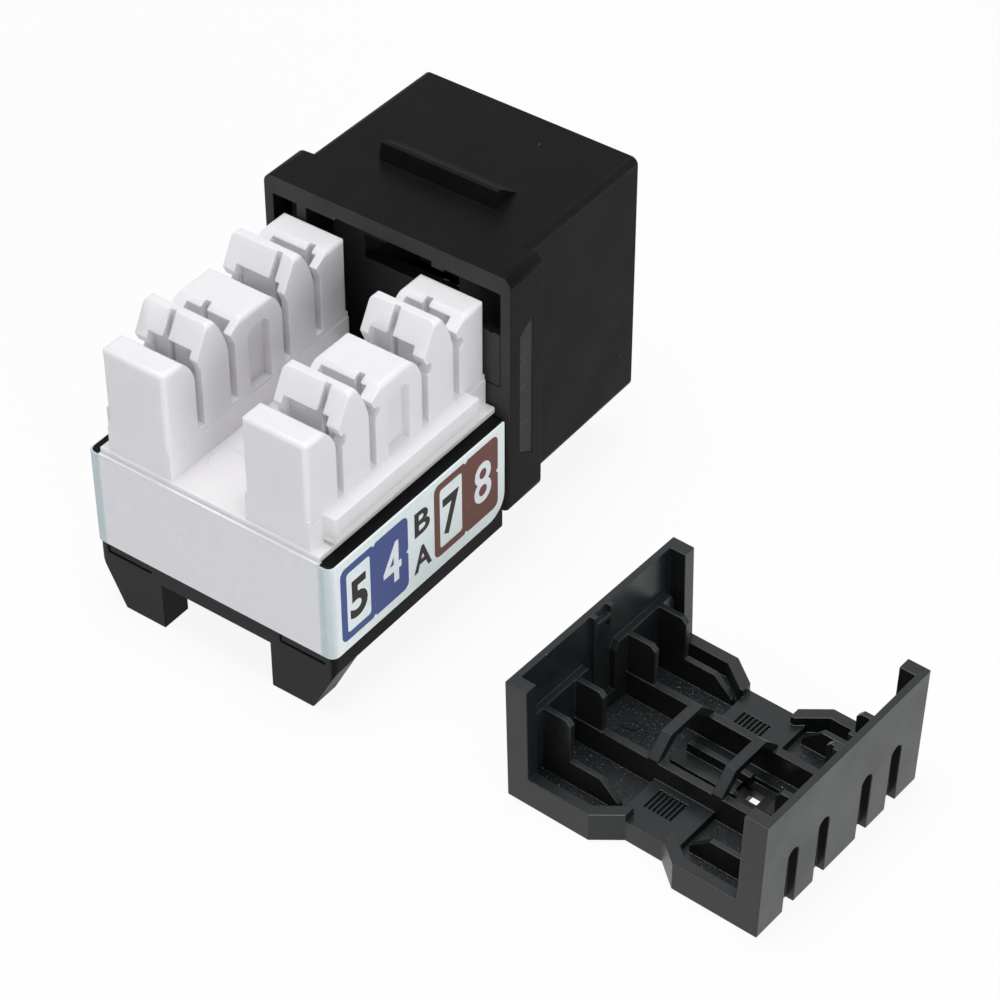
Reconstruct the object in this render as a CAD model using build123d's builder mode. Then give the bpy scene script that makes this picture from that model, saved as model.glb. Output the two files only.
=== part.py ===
from build123d import *
import os

# Keystone jack with a punch-down wire block, and its loose wire-stuffer cap lying upside down
# beside it. Millimetres, +Z up. The origin is the middle of the nose in the plane where the
# shoulders seat against a panel. +Y leaves through the plug port, -Y points at the wire end.

# Nose and shoulders of the front housing
nose_width = 14.5
nose_height = 15.75
nose_length = 10.05
nose_draft = 0.06
nose_corner = 0.45
shoulder_width = 16.3
shoulder_depth = 2.85
shoulder_corner = 0.6
panel_thickness = 1.6
panel_play = 0.05

# Panel lug on top of the nose
lug_width = 7.7
lug_height = 1.05
lug_length = 2.4
lug_lean = 0.2
lug_flat = 0.3
lug_root = 0.3

# Finger pockets in the sides of the shoulders
side_pocket_depth = 0.35
side_pocket_margin = 0.85
side_pocket_top = 4.4
side_pocket_bottom = -4.8
side_pocket_slant = 0.7

# Plug port
port_width = 11.9
port_height = 6.9
port_mouth_chamfer = 0.3
clip_way_width = 6.3
clip_way_height = 1.6
clip_slot_width = 3.4
clip_slot_height = 1.2

# Windows in the rear face of the shoulders, above the wire block
window_top = 6.72
window_bottom = -3.3
window_left = -5.3
window_right = 7.5
window_low_right = 6.2
window_step = 0.6
window_depth = 2.25
raise_left = -3.3
raise_right = 3.05
raise_height = 0.17
tab_width = 0.82
tab_drop = 0.16
post_width = 0.65
small_window_width = 1.6
small_window_depth = 1.5

# Rear tray that holds the wire block
rear_depth = 17.9
tray_width = 16.0
tray_length = 14.6
tray_wall = 1.0
tray_rear_wall = 0.85
tray_rim = -1.05
tray_bottom = -8.475
tray_floor = 1.4
tray_corner = 0.35
leg_height = 3.05
leg_depth = 1.9
leg_inner = 3.7
leg_outer = 6.45
leg_margin = 1.0
seam_depth = 0.12
seam_width = 0.14
seam_drop = 0.7
seam_rise = 0.5
seam_inner = 4.4
seam_outer = 7.4
tongue_width = 0.5
tongue_inset = 0.5
tongue_height = 5.0
tongue_bottom = -6.6
tongue_reach = 1.1
tongue_play = 0.1

# Circuit board
board_thickness = 1.2
board_top = -4.875
board_width = 13.2
board_nose_width = 11.5
board_rear_gap = 0.25
board_front_gap = 0.3
board_setback = 0.2
board_step = 0.5
board_hole_play = 0.12
rail_width = 1.25

# Wire block: a base with two rows of towers
body_gap = 0.1
body_front_gap = 0.2
floor_top = -0.675
flange_width = 14.6
flange_rear_gap = 0.05
ledge_width = 15.2
ledge_top = 1.225
ledge_bottom = -0.025
ledge_start = 1.1
ledge_end = 13.1
ejector_radius = 0.95
ejector_depth = 0.06
ejector_place = (-1.3, 3.1)
row_inner = 2.5
row_outer = 6.65
row_rear_gap = 0.15
row_length = 14.7
plinth_top = 0.925
plinth_step = 0.06
block_top = 6.125
block_ease = 1.0
block_ease_drop = 1.6
block_ease_bow = (0.34, 0.69)
fin_top = 7.225
tower_round = 0.3
slot_width = 0.52
slot_pitch = 2.66
pair_pitch = 7.0
first_pair = 4.1
nib_reach = 0.32
nib_height = 5.5
nib_foot = 4.75
nib_lead = 0.6
fin_crest_rear = -0.43
fin_crest_front = 0.05
fin_bulge = (0.66, 6.125)
fin_shoulder = (1.0, 5.075)
pocket_inner = 3.0
pocket_outer = 5.88
pocket_depth = 0.35
pocket_top = 5.86
key_radius = 0.36
key_height = 4.62
recess_width = 1.75
recess_depth = 0.55
recess_top = 4.95
recess_corner = 0.35

# Wire-cutting blades, one per wire slot: distance from the middle for each pair of slots
blade_right_rear = 5.3
blade_right_front = 4.25
blade_left_rear = 4.75
blade_left_front = 3.5
blade_thickness = 0.28
blade_width = 1.9
blade_top = 3.9
blade_slit = 0.3
blade_slit_depth = 4.0
blade_mouth = 0.9
blade_mouth_depth = 0.7
blade_play = 0.06
tail_width = 0.7
tail_length = 0.4

# Contact comb and the eight contact wires
comb_width = 11.7
comb_base = 1.0
comb_rear_gap = 0.1
comb_wall = 0.9
comb_wall_top = 3.0
comb_setback = 2.15
comb_bar = 0.6
comb_bar_height = 0.9
comb_slot_width = 0.62
comb_slot_depth = 0.6
comb_slot_bottom = -3.1
comb_slot_top = 0.35
contact_pitch = 1.02
contact_count = 8
contact_size = 0.34
contact_play = 0.08
contact_height = 0.42
contact_knee = (2.1, -0.85)
contact_tip = (0.35, -0.3)

# Flexible panel latch under the nose
latch_width = 9.0
latch_root_width = 8.4
latch_root_length = 2.5
latch_flare = 2.0
latch_setback = 1.75
latch_pivot_drop = 0.675
latch_thickness = 1.1
latch_play = 0.1
latch_reach = 14.3
latch_slope = 2.2
latch_tooth_length = 3.0
latch_tooth_tip = 0.45
latch_pad_length = 1.4
latch_pad_ramp = 1.0
latch_pad_lift = 0.1
latch_socket_wall = 0.7

# Wiring label wrapped round the tray
label_thickness = 0.12
label_height = 6.14
label_bottom = -7.275
label_corner = 1.4

# Stuffer cap
cap_centre = (26.42, -10.36)
cap_turn = -2.6
cap_width = 15.5
cap_lean = 0.2
cap_length = 13.9
cap_height = 7.78
cap_wall = 0.4
cap_floor = 0.8
cap_lip_height = 1.8
cap_lip = 0.7
cap_post_width = 1.35
cap_post_depth = 0.8
cap_notch_mouth = 2.6
cap_notch_throat = 1.15
cap_notch_depth = 1.15
cap_far_mouth = 3.45
cap_far_throat = 1.85
cap_throat_height = 1.3
cap_rib = 0.36
cap_rib_top = 5.0
cap_rib_reach = 2.05
cap_rib_chamfer = 0.3
cap_sill_height = 2.3
cap_sill_half = 3.4
cap_sill_foot = 2.2
cap_sill_toe = 0.4
cap_ledge = 0.3
cap_ledge_over = 1.2
cap_ledge_ease = 0.3
cap_ledge_drop = 0.5
cap_rail = 0.5
cap_rail_height = 2.4
cap_arch = 0.65
cap_arch_places = (-2.05, 1.95)
cap_arch_top = 3.6
cap_arch_band = 0.45
cap_arch_shoulder = 1.1
cap_pad_half = 1.9
cap_pad_start = 2.3
cap_tooth_count = 7
cap_tooth_pitch = 0.26
cap_tooth_middle = -0.3
cap_tooth_width = 0.13
cap_tooth_depth = 0.2
cap_tooth_start = 2.9
cap_tooth_length = 1.4
cap_bar_place = 0.75
cap_bar_width = 0.4
cap_bar_height = 1.4
cap_hole = 0.7
cap_hole_place = (2.45, 0.28)
cap_well = 1.9
cap_well_depth = 0.3
cap_frame_start = -0.6
cap_frame_end = 1.0
cap_frame_band = 0.3
cap_frame_depth = 0.1
cap_frame_foot = 6.95
cap_frame_tail = 6.4
cap_grip_places = (-4.3, -1.7, 2.0, 4.6)
cap_grip_width = 0.9
cap_grip_top = 4.2
cap_grip_depth = 0.45

# Places worked out from the sizes above
nose_bottom = -nose_height / 2
nose_top = nose_height / 2
rear_y = -rear_depth
shoulder_rear = -shoulder_depth
tray_front = rear_y + tray_length
tray_half = tray_width / 2
tray_inner = tray_half - tray_wall
tray_cavity_rear = rear_y + tray_rear_wall
bench = tray_bottom - leg_height
lug_rear = panel_thickness + panel_play
port_floor = board_top + comb_base
port_top = port_floor + port_height
clip_way_top = port_top + clip_way_height
clip_slot_top = clip_way_top + clip_slot_height
port_back = shoulder_rear + window_depth
board_bottom = board_top - board_thickness
comb_front = nose_length - comb_setback
board_front = comb_front - board_setback
board_neck = tray_front - board_step
tongue_outer = tray_half - tongue_inset
tongue_inner = tongue_outer - tongue_width
tongue_tip = tray_front + tongue_reach
row_rear = rear_y + row_rear_gap
row_front = row_rear + row_length
row_middle = (row_inner + row_outer) / 2
row_width = row_outer - row_inner
pair_places = [rear_y + first_pair, rear_y + first_pair + pair_pitch]
middle_place = rear_y + first_pair + pair_pitch / 2
slot_places = [place + step * slot_pitch / 2 for place in pair_places for step in (-1, 1)]
slot_near = slot_pitch / 2 - slot_width / 2
slot_far = slot_pitch / 2 + slot_width / 2
blade_place = {
    (1, 0): blade_right_rear,
    (1, 1): blade_right_front,
    (-1, 0): blade_left_rear,
    (-1, 1): blade_left_front,
}
channel_half = blade_width / 2 + blade_play
channel_width = blade_thickness + 2 * blade_play
comb_rear = port_back + comb_rear_gap
comb_wall_front = comb_rear + comb_wall
contact_pivot = (comb_front - comb_bar - contact_play - contact_size / 2, port_floor + contact_height)
contact_places = [(i - (contact_count - 1) / 2) * contact_pitch for i in range(contact_count)]
latch_pivot_y = nose_length - latch_setback
latch_pivot_z = nose_bottom - latch_pivot_drop
latch_end = latch_pivot_y - latch_reach
cap_half = cap_width / 2
cap_end = cap_length / 2
cap_inner = cap_half - cap_wall
cap_root = cap_half - cap_wall / 2
cap_throat_y = cap_end - cap_notch_depth
cap_rail_y = pair_pitch / 2 - slot_pitch / 2
cap_sill_y = pair_pitch / 2 + slot_pitch / 2
cap_plan = [
    (-cap_half, -cap_end),
    (-cap_notch_mouth, -cap_end),
    (-cap_notch_throat, -cap_throat_y),
    (cap_notch_throat, -cap_throat_y),
    (cap_notch_mouth, -cap_end),
    (cap_half, -cap_end),
    (cap_half, cap_end),
    (cap_notch_mouth, cap_end),
    (cap_notch_throat, cap_throat_y),
    (-cap_far_throat, cap_throat_y),
    (-cap_far_mouth, cap_end),
    (-cap_half, cap_end),
]


def across(y):
    """Plane at a place along Y, with local x along X and local y along Z; its normal is -Y."""
    return Plane.XZ.offset(-y)


def outline(points):
    """Closed face through the points, on the sketch in use."""
    Polygon(*points, align=None)


def block(x0, x1, y0, y1, z0, z1, mode=Mode.ADD):
    """Box between two corners, drawn on the plane of its lower face."""
    with BuildSketch(Plane.XY.offset(z0)) as base:
        with Locations(((x0 + x1) / 2, (y0 + y1) / 2)):
            Rectangle(abs(x1 - x0), abs(y1 - y0))
    extrude(base.sketch, amount=z1 - z0, mode=mode)


# Front housing: drafted nose, shoulders, panel lug, plug port, rear windows and latch socket
with BuildPart() as front_housing:
    with BuildSketch(across(0)):
        RectangleRounded(nose_width, nose_height, nose_corner)
    with BuildSketch(across(nose_length)):
        RectangleRounded(nose_width - 2 * nose_draft, nose_height - 2 * nose_draft, nose_corner)
    loft()
    with BuildSketch(across(shoulder_rear)):
        RectangleRounded(shoulder_width, nose_height, shoulder_corner)
    extrude(amount=-shoulder_depth)
    with BuildSketch(Plane.YZ.offset(-lug_width / 2)):
        outline([
            (lug_rear, nose_top - lug_root),
            (lug_rear, nose_top),
            (lug_rear + lug_lean, nose_top + lug_height),
            (lug_rear + lug_lean + lug_flat, nose_top + lug_height),
            (lug_rear + lug_length, nose_top - lug_root),
        ])
    extrude(amount=lug_width)
    socket_front = latch_pivot_y + latch_thickness / 2 + latch_socket_wall
    with BuildSketch(Plane.YZ.offset(-latch_root_width / 2)):
        outline([
            (latch_pivot_y, nose_bottom + lug_root),
            (latch_pivot_y, latch_pivot_z - latch_thickness / 2),
            (socket_front - latch_socket_wall / 2, latch_pivot_z - latch_thickness / 2),
            (socket_front, nose_bottom + lug_root),
        ])
    extrude(amount=latch_root_width)
    with BuildSketch(Plane.YZ.offset(-latch_width / 2)):
        with Locations((latch_pivot_y, latch_pivot_z)):
            Circle(latch_thickness / 2 + latch_play)
    extrude(amount=latch_width, mode=Mode.SUBTRACT)
    with BuildSketch(across(nose_length)):
        outline([
            (-port_width / 2, port_floor),
            (port_width / 2, port_floor),
            (port_width / 2, port_top),
            (clip_way_width / 2, port_top),
            (clip_way_width / 2, clip_way_top),
            (clip_slot_width / 2, clip_way_top),
            (clip_slot_width / 2, clip_slot_top),
            (-clip_slot_width / 2, clip_slot_top),
            (-clip_slot_width / 2, clip_way_top),
            (-clip_way_width / 2, clip_way_top),
            (-clip_way_width / 2, port_top),
            (-port_width / 2, port_top),
        ])
    extrude(amount=nose_length - port_back, mode=Mode.SUBTRACT)
    port_mouth = front_housing.faces().sort_by(Axis.Y)[-1].inner_wires()[0].edges()
    chamfer(port_mouth, length=port_mouth_chamfer)
    block(-port_width / 2, port_width / 2, shoulder_rear, board_front + board_front_gap,
          board_bottom, port_floor, mode=Mode.SUBTRACT)
    with BuildSketch(across(shoulder_rear)):
        outline([
            (window_left, window_top),
            (raise_left, window_top),
            (raise_left, window_top + raise_height),
            (raise_right, window_top + raise_height),
            (raise_right, window_top - tab_drop),
            (raise_right + tab_width, window_top - tab_drop),
            (raise_right + tab_width, window_top),
            (window_right, window_top),
            (window_right, window_step),
            (window_low_right, window_step),
            (window_low_right, window_bottom),
            (window_left, window_bottom),
        ])
    extrude(amount=-window_depth, mode=Mode.SUBTRACT)
    small_right = window_left - post_width
    block(small_right - small_window_width, small_right, shoulder_rear, shoulder_rear + small_window_depth,
          window_step, window_top, mode=Mode.SUBTRACT)
    for side in (-1, 1):
        block(side * (tongue_inner - tongue_play), side * (tongue_outer + tongue_play),
              shoulder_rear, tongue_tip + tongue_play,
              tongue_bottom - tongue_play, tongue_bottom + tongue_height + tongue_play,
              mode=Mode.SUBTRACT)
        with BuildSketch(Plane.YZ.offset(side * shoulder_width / 2)):
            outline([
                (shoulder_rear + side_pocket_margin, side_pocket_top - side_pocket_slant),
                (-side_pocket_margin, side_pocket_top),
                (-side_pocket_margin, side_pocket_bottom),
                (shoulder_rear + side_pocket_margin, side_pocket_bottom + side_pocket_slant),
            ])
        extrude(amount=-side * side_pocket_depth, mode=Mode.SUBTRACT)
front_housing.part.label = "front_housing"


def arm_top(y):
    """Height of the upper face of the latch arm at a place along Y."""
    return latch_pivot_z + latch_thickness / 2 - (latch_pivot_y - y) * latch_slope / latch_reach


def arm_under(y):
    """Height of the lower face of the latch arm at a place along Y."""
    return arm_top(y) - latch_thickness


# Latch arm: round root in the socket, sloping arm, panel tooth and finger pad
with BuildPart() as latch_arm:
    pad_start = latch_end + latch_pad_length + latch_pad_ramp
    with BuildSketch(Plane.YZ.offset(-latch_width / 2)):
        outline([
            (latch_pivot_y, arm_top(latch_pivot_y)),
            (latch_pivot_y, arm_under(latch_pivot_y)),
            (lug_rear + latch_tooth_length, arm_under(lug_rear + latch_tooth_length)),
            (lug_rear + latch_tooth_tip, bench),
            (lug_rear, bench),
            (lug_rear, arm_under(lug_rear)),
            (pad_start, arm_under(pad_start)),
            (latch_end + latch_pad_length, bench + latch_pad_lift),
            (latch_end, bench + latch_pad_lift),
            (latch_end, arm_top(latch_end)),
        ])
        with Locations((latch_pivot_y, latch_pivot_z)):
            Circle(latch_thickness / 2)
    extrude(amount=latch_width)
    root_half = latch_root_width / 2
    root_y = latch_pivot_y - latch_root_length
    with BuildSketch(Plane.XY.offset(bench)):
        outline([
            (root_half, latch_pivot_y + latch_thickness),
            (root_half, root_y),
            (latch_width / 2, root_y - latch_flare),
            (latch_width / 2, latch_end),
            (-latch_width / 2, latch_end),
            (-latch_width / 2, root_y - latch_flare),
            (-root_half, root_y),
            (-root_half, latch_pivot_y + latch_thickness),
        ])
    extrude(amount=latch_pivot_z + latch_thickness - bench, mode=Mode.INTERSECT)
latch_arm.part.label = "latch_arm"

# Body shared by the tray and the label: rounded at its two rear corners, from the bench to the rim
with BuildPart() as tray_body:
    block(-tray_half, tray_half, rear_y, tray_front, bench, tray_rim)
    fillet(tray_body.edges().filter_by(Axis.Z).group_by(Axis.Y)[0], tray_corner)

# Rear tray: open box with board rails, a pair of legs and tongues that enter the shoulders
with BuildPart() as rear_tray:
    add(tray_body.part)
    block(-tray_half, tray_half, rear_y + leg_depth, tray_front, bench, tray_bottom, mode=Mode.SUBTRACT)
    with BuildSketch(across(rear_y)):
        outline([
            (-leg_inner, bench),
            (-leg_inner, tray_bottom),
            (leg_inner, tray_bottom),
            (leg_inner, bench),
        ])
        for side in (-1, 1):
            outline([
                (side * leg_outer, bench),
                (side * tray_half, tray_bottom),
                (side * (tray_half + leg_margin), tray_bottom),
                (side * (tray_half + leg_margin), bench),
            ])
    extrude(amount=-leg_depth, mode=Mode.SUBTRACT)
    block(-tray_inner, tray_inner, tray_cavity_rear, tray_front, tray_bottom + tray_floor, tray_rim,
          mode=Mode.SUBTRACT)
    for side in (-1, 1):
        block(side * (tray_inner - rail_width), side * tray_inner, tray_cavity_rear, tray_front,
              tray_bottom + tray_floor, board_bottom)
        block(side * tongue_inner, side * tongue_outer, tray_front, tongue_tip,
              tongue_bottom, tongue_bottom + tongue_height)
        seam_z = label_bottom - seam_drop
        seam_corner = side * (seam_inner if side > 0 else seam_outer)
        block(side * seam_inner, side * seam_outer, rear_y, rear_y + seam_depth,
              seam_z, seam_z + seam_width, mode=Mode.SUBTRACT)
        block(seam_corner, seam_corner + seam_width, rear_y, rear_y + seam_depth,
              seam_z, seam_z + seam_rise, mode=Mode.SUBTRACT)
rear_tray.part.label = "rear_tray"

# Circuit board: wide under the wire block, narrow inside the nose
with BuildPart() as circuit_board:
    block(-board_width / 2, board_width / 2, tray_cavity_rear + board_rear_gap, board_neck,
          board_bottom, board_top)
    block(-board_nose_width / 2, board_nose_width / 2, board_neck, board_front, board_bottom, board_top)
    for (side, pair), place in blade_place.items():
        for slot in slot_places[2 * pair:2 * pair + 2]:
            half_x = blade_thickness / 2 + board_hole_play
            half_y = tail_width / 2 + board_hole_play
            block(side * place - half_x, side * place + half_x, slot - half_y, slot + half_y,
                  board_bottom, board_top, mode=Mode.SUBTRACT)
circuit_board.part.label = "circuit_board"


def rounded_row(top):
    """Trim a row of towers to one height with rounded long edges and rounded corners in plan."""
    tall = top - plinth_top + 2 * tower_round
    with BuildSketch(across(row_rear)) as end_view:
        with Locations((row_middle, top - tall / 2)):
            RectangleRounded(row_width, tall, tower_round)
    extrude(end_view.sketch, amount=-row_length, mode=Mode.INTERSECT)
    with BuildSketch(Plane.XY.offset(plinth_top)) as plan:
        with Locations((row_middle, row_rear + row_length / 2)):
            RectangleRounded(row_width, row_length, tower_round)
    extrude(plan.sketch, amount=top - plinth_top, mode=Mode.INTERSECT)


def block_side(rear, front, has_nib, has_ease):
    """Side view of one full-height block, with a wire nib behind and an eased edge in front."""
    turn = tower_round * (1 - 0.5 ** 0.5)
    with BuildLine() as side_view:
        if has_nib:
            Polyline((rear, plinth_top), (rear, nib_foot), (rear - nib_reach, nib_height),
                     (rear + nib_lead, block_top))
            start = (rear + nib_lead, block_top)
        else:
            Line((rear, plinth_top), (rear, block_top - tower_round))
            ThreePointArc((rear, block_top - tower_round), (rear + turn, block_top - turn),
                          (rear + tower_round, block_top))
            start = (rear + tower_round, block_top)
        if has_ease:
            Line(start, (front - block_ease, block_top))
            ThreePointArc((front - block_ease, block_top),
                          (front - block_ease_bow[0], block_top - block_ease_bow[1]),
                          (front, block_top - block_ease_drop))
            Line((front, block_top - block_ease_drop), (front, plinth_top))
        else:
            Line(start, (front - tower_round, block_top))
            ThreePointArc((front - tower_round, block_top), (front - turn, block_top - turn),
                          (front, block_top - tower_round))
            Line((front, block_top - tower_round), (front, plinth_top))
        Line((front, plinth_top), (rear, plinth_top))
    make_face(side_view.line)


# End, middle and far blocks of one row
with BuildPart() as row_blocks:
    with BuildSketch(Plane.YZ.offset(row_inner)):
        block_side(row_rear, pair_places[0] - slot_far, False, True)
        block_side(pair_places[0] + slot_far, pair_places[1] - slot_far, True, True)
        block_side(pair_places[1] + slot_far, row_front, True, False)
    extrude(amount=row_width)
    rounded_row(block_top)

# The two taller fins of one row, each between the two slots of a pair
with BuildPart() as row_fins:
    with BuildSketch(Plane.YZ.offset(row_inner)):
        for place in pair_places:
            with BuildLine():
                flank = Polyline(
                    (place + fin_shoulder[0], fin_shoulder[1]),
                    (place + slot_near, nib_foot),
                    (place + slot_near, plinth_top),
                    (place - slot_near, plinth_top),
                    (place - slot_near, nib_foot),
                    (place - slot_near - nib_reach, nib_height),
                    (place + fin_crest_rear, fin_top),
                    (place + fin_crest_front, fin_top),
                )
                ThreePointArc(flank @ 1, (place + fin_bulge[0], fin_bulge[1]), flank @ 0)
            make_face()
    extrude(amount=row_width)
    rounded_row(fin_top)

# One whole row on the +X side: towers, plinth, outer ledge, wire pockets, keyholes and recesses
with BuildPart() as tower_row:
    add(row_blocks.part)
    add(row_fins.part)
    block(row_inner, row_outer, row_rear, row_front, plinth_top, ledge_top)
    block(row_inner - plinth_step, row_outer + plinth_step, row_rear, row_front, floor_top, plinth_top)
    block(row_outer - tower_round, ledge_width / 2, rear_y + ledge_start, rear_y + ledge_end,
          ledge_bottom, ledge_top)
    for wall in (pair_places[0] - slot_near, pair_places[0] + slot_far,
                 pair_places[1] - slot_near, pair_places[1] + slot_far):
        block(pocket_inner, pocket_outer, wall - slot_width, wall + pocket_depth, ledge_top, pocket_top,
              mode=Mode.SUBTRACT)
    with BuildSketch(Plane.YZ.offset(pocket_outer)):
        with Locations(*[(slot + slot_width / 2, key_height) for slot in slot_places]):
            Circle(key_radius)
    extrude(amount=row_outer - pocket_outer, mode=Mode.SUBTRACT)
    for start, foot in ((row_inner, plinth_top), (row_outer - recess_depth, ledge_top)):
        with BuildSketch(Plane.YZ.offset(start)):
            outline([
                (middle_place - recess_width / 2, foot),
                (middle_place - recess_width / 2, recess_top - recess_corner),
                (middle_place - recess_width / 2 + recess_corner, recess_top),
                (middle_place + recess_width / 2 - recess_corner, recess_top),
                (middle_place + recess_width / 2, recess_top - recess_corner),
                (middle_place + recess_width / 2, foot),
            ])
        extrude(amount=recess_depth, mode=Mode.SUBTRACT)

# Wire block: body in the tray, floor flange on the rim, two rows of towers and the blade channels
with BuildPart() as wire_block:
    block(body_gap - tray_inner, tray_inner - body_gap, tray_cavity_rear + body_gap,
          tray_front - body_front_gap, board_top, tray_rim)
    block(-flange_width / 2, flange_width / 2, rear_y + flange_rear_gap, row_front, tray_rim, floor_top)
    add(tower_row.part)
    mirror(tower_row.part, about=Plane.YZ)
    for (side, pair), place in blade_place.items():
        for slot in slot_places[2 * pair:2 * pair + 2]:
            block(side * place - channel_width / 2, side * place + channel_width / 2,
                  slot - channel_half, slot + channel_half, board_top, fin_top, mode=Mode.SUBTRACT)
    with BuildSketch(Plane.XY.offset(floor_top)):
        with Locations((ejector_place[0], rear_y + ejector_place[1])):
            Circle(ejector_radius)
    extrude(amount=-ejector_depth, mode=Mode.SUBTRACT)
wire_block.part.label = "wire_block"

# Wire-cutting blades: forked plates with a tail through the board, one in each channel
blades = []
for (side, pair), place in blade_place.items():
    for slot in slot_places[2 * pair:2 * pair + 2]:
        with BuildPart() as idc_blade:
            with BuildSketch(Plane.YZ.offset(side * place - blade_thickness / 2)):
                outline([
                    (slot - blade_width / 2, board_top),
                    (slot - blade_width / 2, blade_top),
                    (slot - blade_mouth / 2, blade_top),
                    (slot - blade_slit / 2, blade_top - blade_mouth_depth),
                    (slot - blade_slit / 2, blade_top - blade_slit_depth),
                    (slot + blade_slit / 2, blade_top - blade_slit_depth),
                    (slot + blade_slit / 2, blade_top - blade_mouth_depth),
                    (slot + blade_mouth / 2, blade_top),
                    (slot + blade_width / 2, blade_top),
                    (slot + blade_width / 2, board_top),
                    (slot + tail_width / 2, board_top),
                    (slot + tail_width / 2, board_bottom - tail_length),
                    (slot - tail_width / 2, board_bottom - tail_length),
                    (slot - tail_width / 2, board_top),
                ])
            extrude(amount=blade_thickness)
        idc_blade.part.label = f"idc_blade_{len(blades) + 1}"
        blades.append(idc_blade.part)

# Contact comb: base on the board, slotted rear wall of the port and a front bar
with BuildPart() as contact_comb:
    block(-comb_width / 2, comb_width / 2, comb_rear, comb_front, board_top, port_floor)
    block(-comb_width / 2, comb_width / 2, comb_rear, comb_wall_front, port_floor, comb_wall_top)
    block(-comb_width / 2, comb_width / 2, comb_front - comb_bar, comb_front,
          port_floor, port_floor + comb_bar_height)
    for x in contact_places:
        block(x - comb_slot_width / 2, x + comb_slot_width / 2, comb_wall_front - comb_slot_depth,
              comb_wall_front, comb_slot_bottom, comb_slot_top, mode=Mode.SUBTRACT)
contact_comb.part.label = "contact_comb"

# Contact wires: square wires that rise from a round knuckle at the bar to the comb slots
wires = []
for x in contact_places:
    with BuildPart() as contact_wire:
        with BuildSketch(Plane.YZ.offset(x - contact_size / 2)):
            with BuildLine():
                Polyline(contact_pivot, contact_knee, contact_tip)
            trace(line_width=contact_size)
            with Locations(contact_pivot, contact_knee):
                Circle(contact_size / 2)
        extrude(amount=contact_size)
    contact_wire.part.label = f"contact_wire_{len(wires) + 1}"
    wires.append(contact_wire.part)

# Wiring label: a thin band round the rear and both sides of the tray
with BuildPart() as wiring_label:
    block(-tray_half - label_thickness, tray_half + label_thickness, rear_y - label_thickness, tray_front,
          label_bottom, label_bottom + label_height)
    fillet(wiring_label.edges().filter_by(Axis.Z).group_by(Axis.Y)[0], tray_corner + label_thickness)
    add(tray_body.part, mode=Mode.SUBTRACT)
    with BuildSketch(Plane.YZ.offset(-tray_width)):
        with Locations((tray_front, label_bottom)):
            Rectangle(2 * label_corner, 2 * label_corner)
        with Locations((tray_front - label_corner, label_bottom + label_corner)):
            Circle(label_corner, mode=Mode.SUBTRACT)
    extrude(amount=2 * tray_width, mode=Mode.SUBTRACT)
wiring_label.part.label = "wiring_label"

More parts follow.
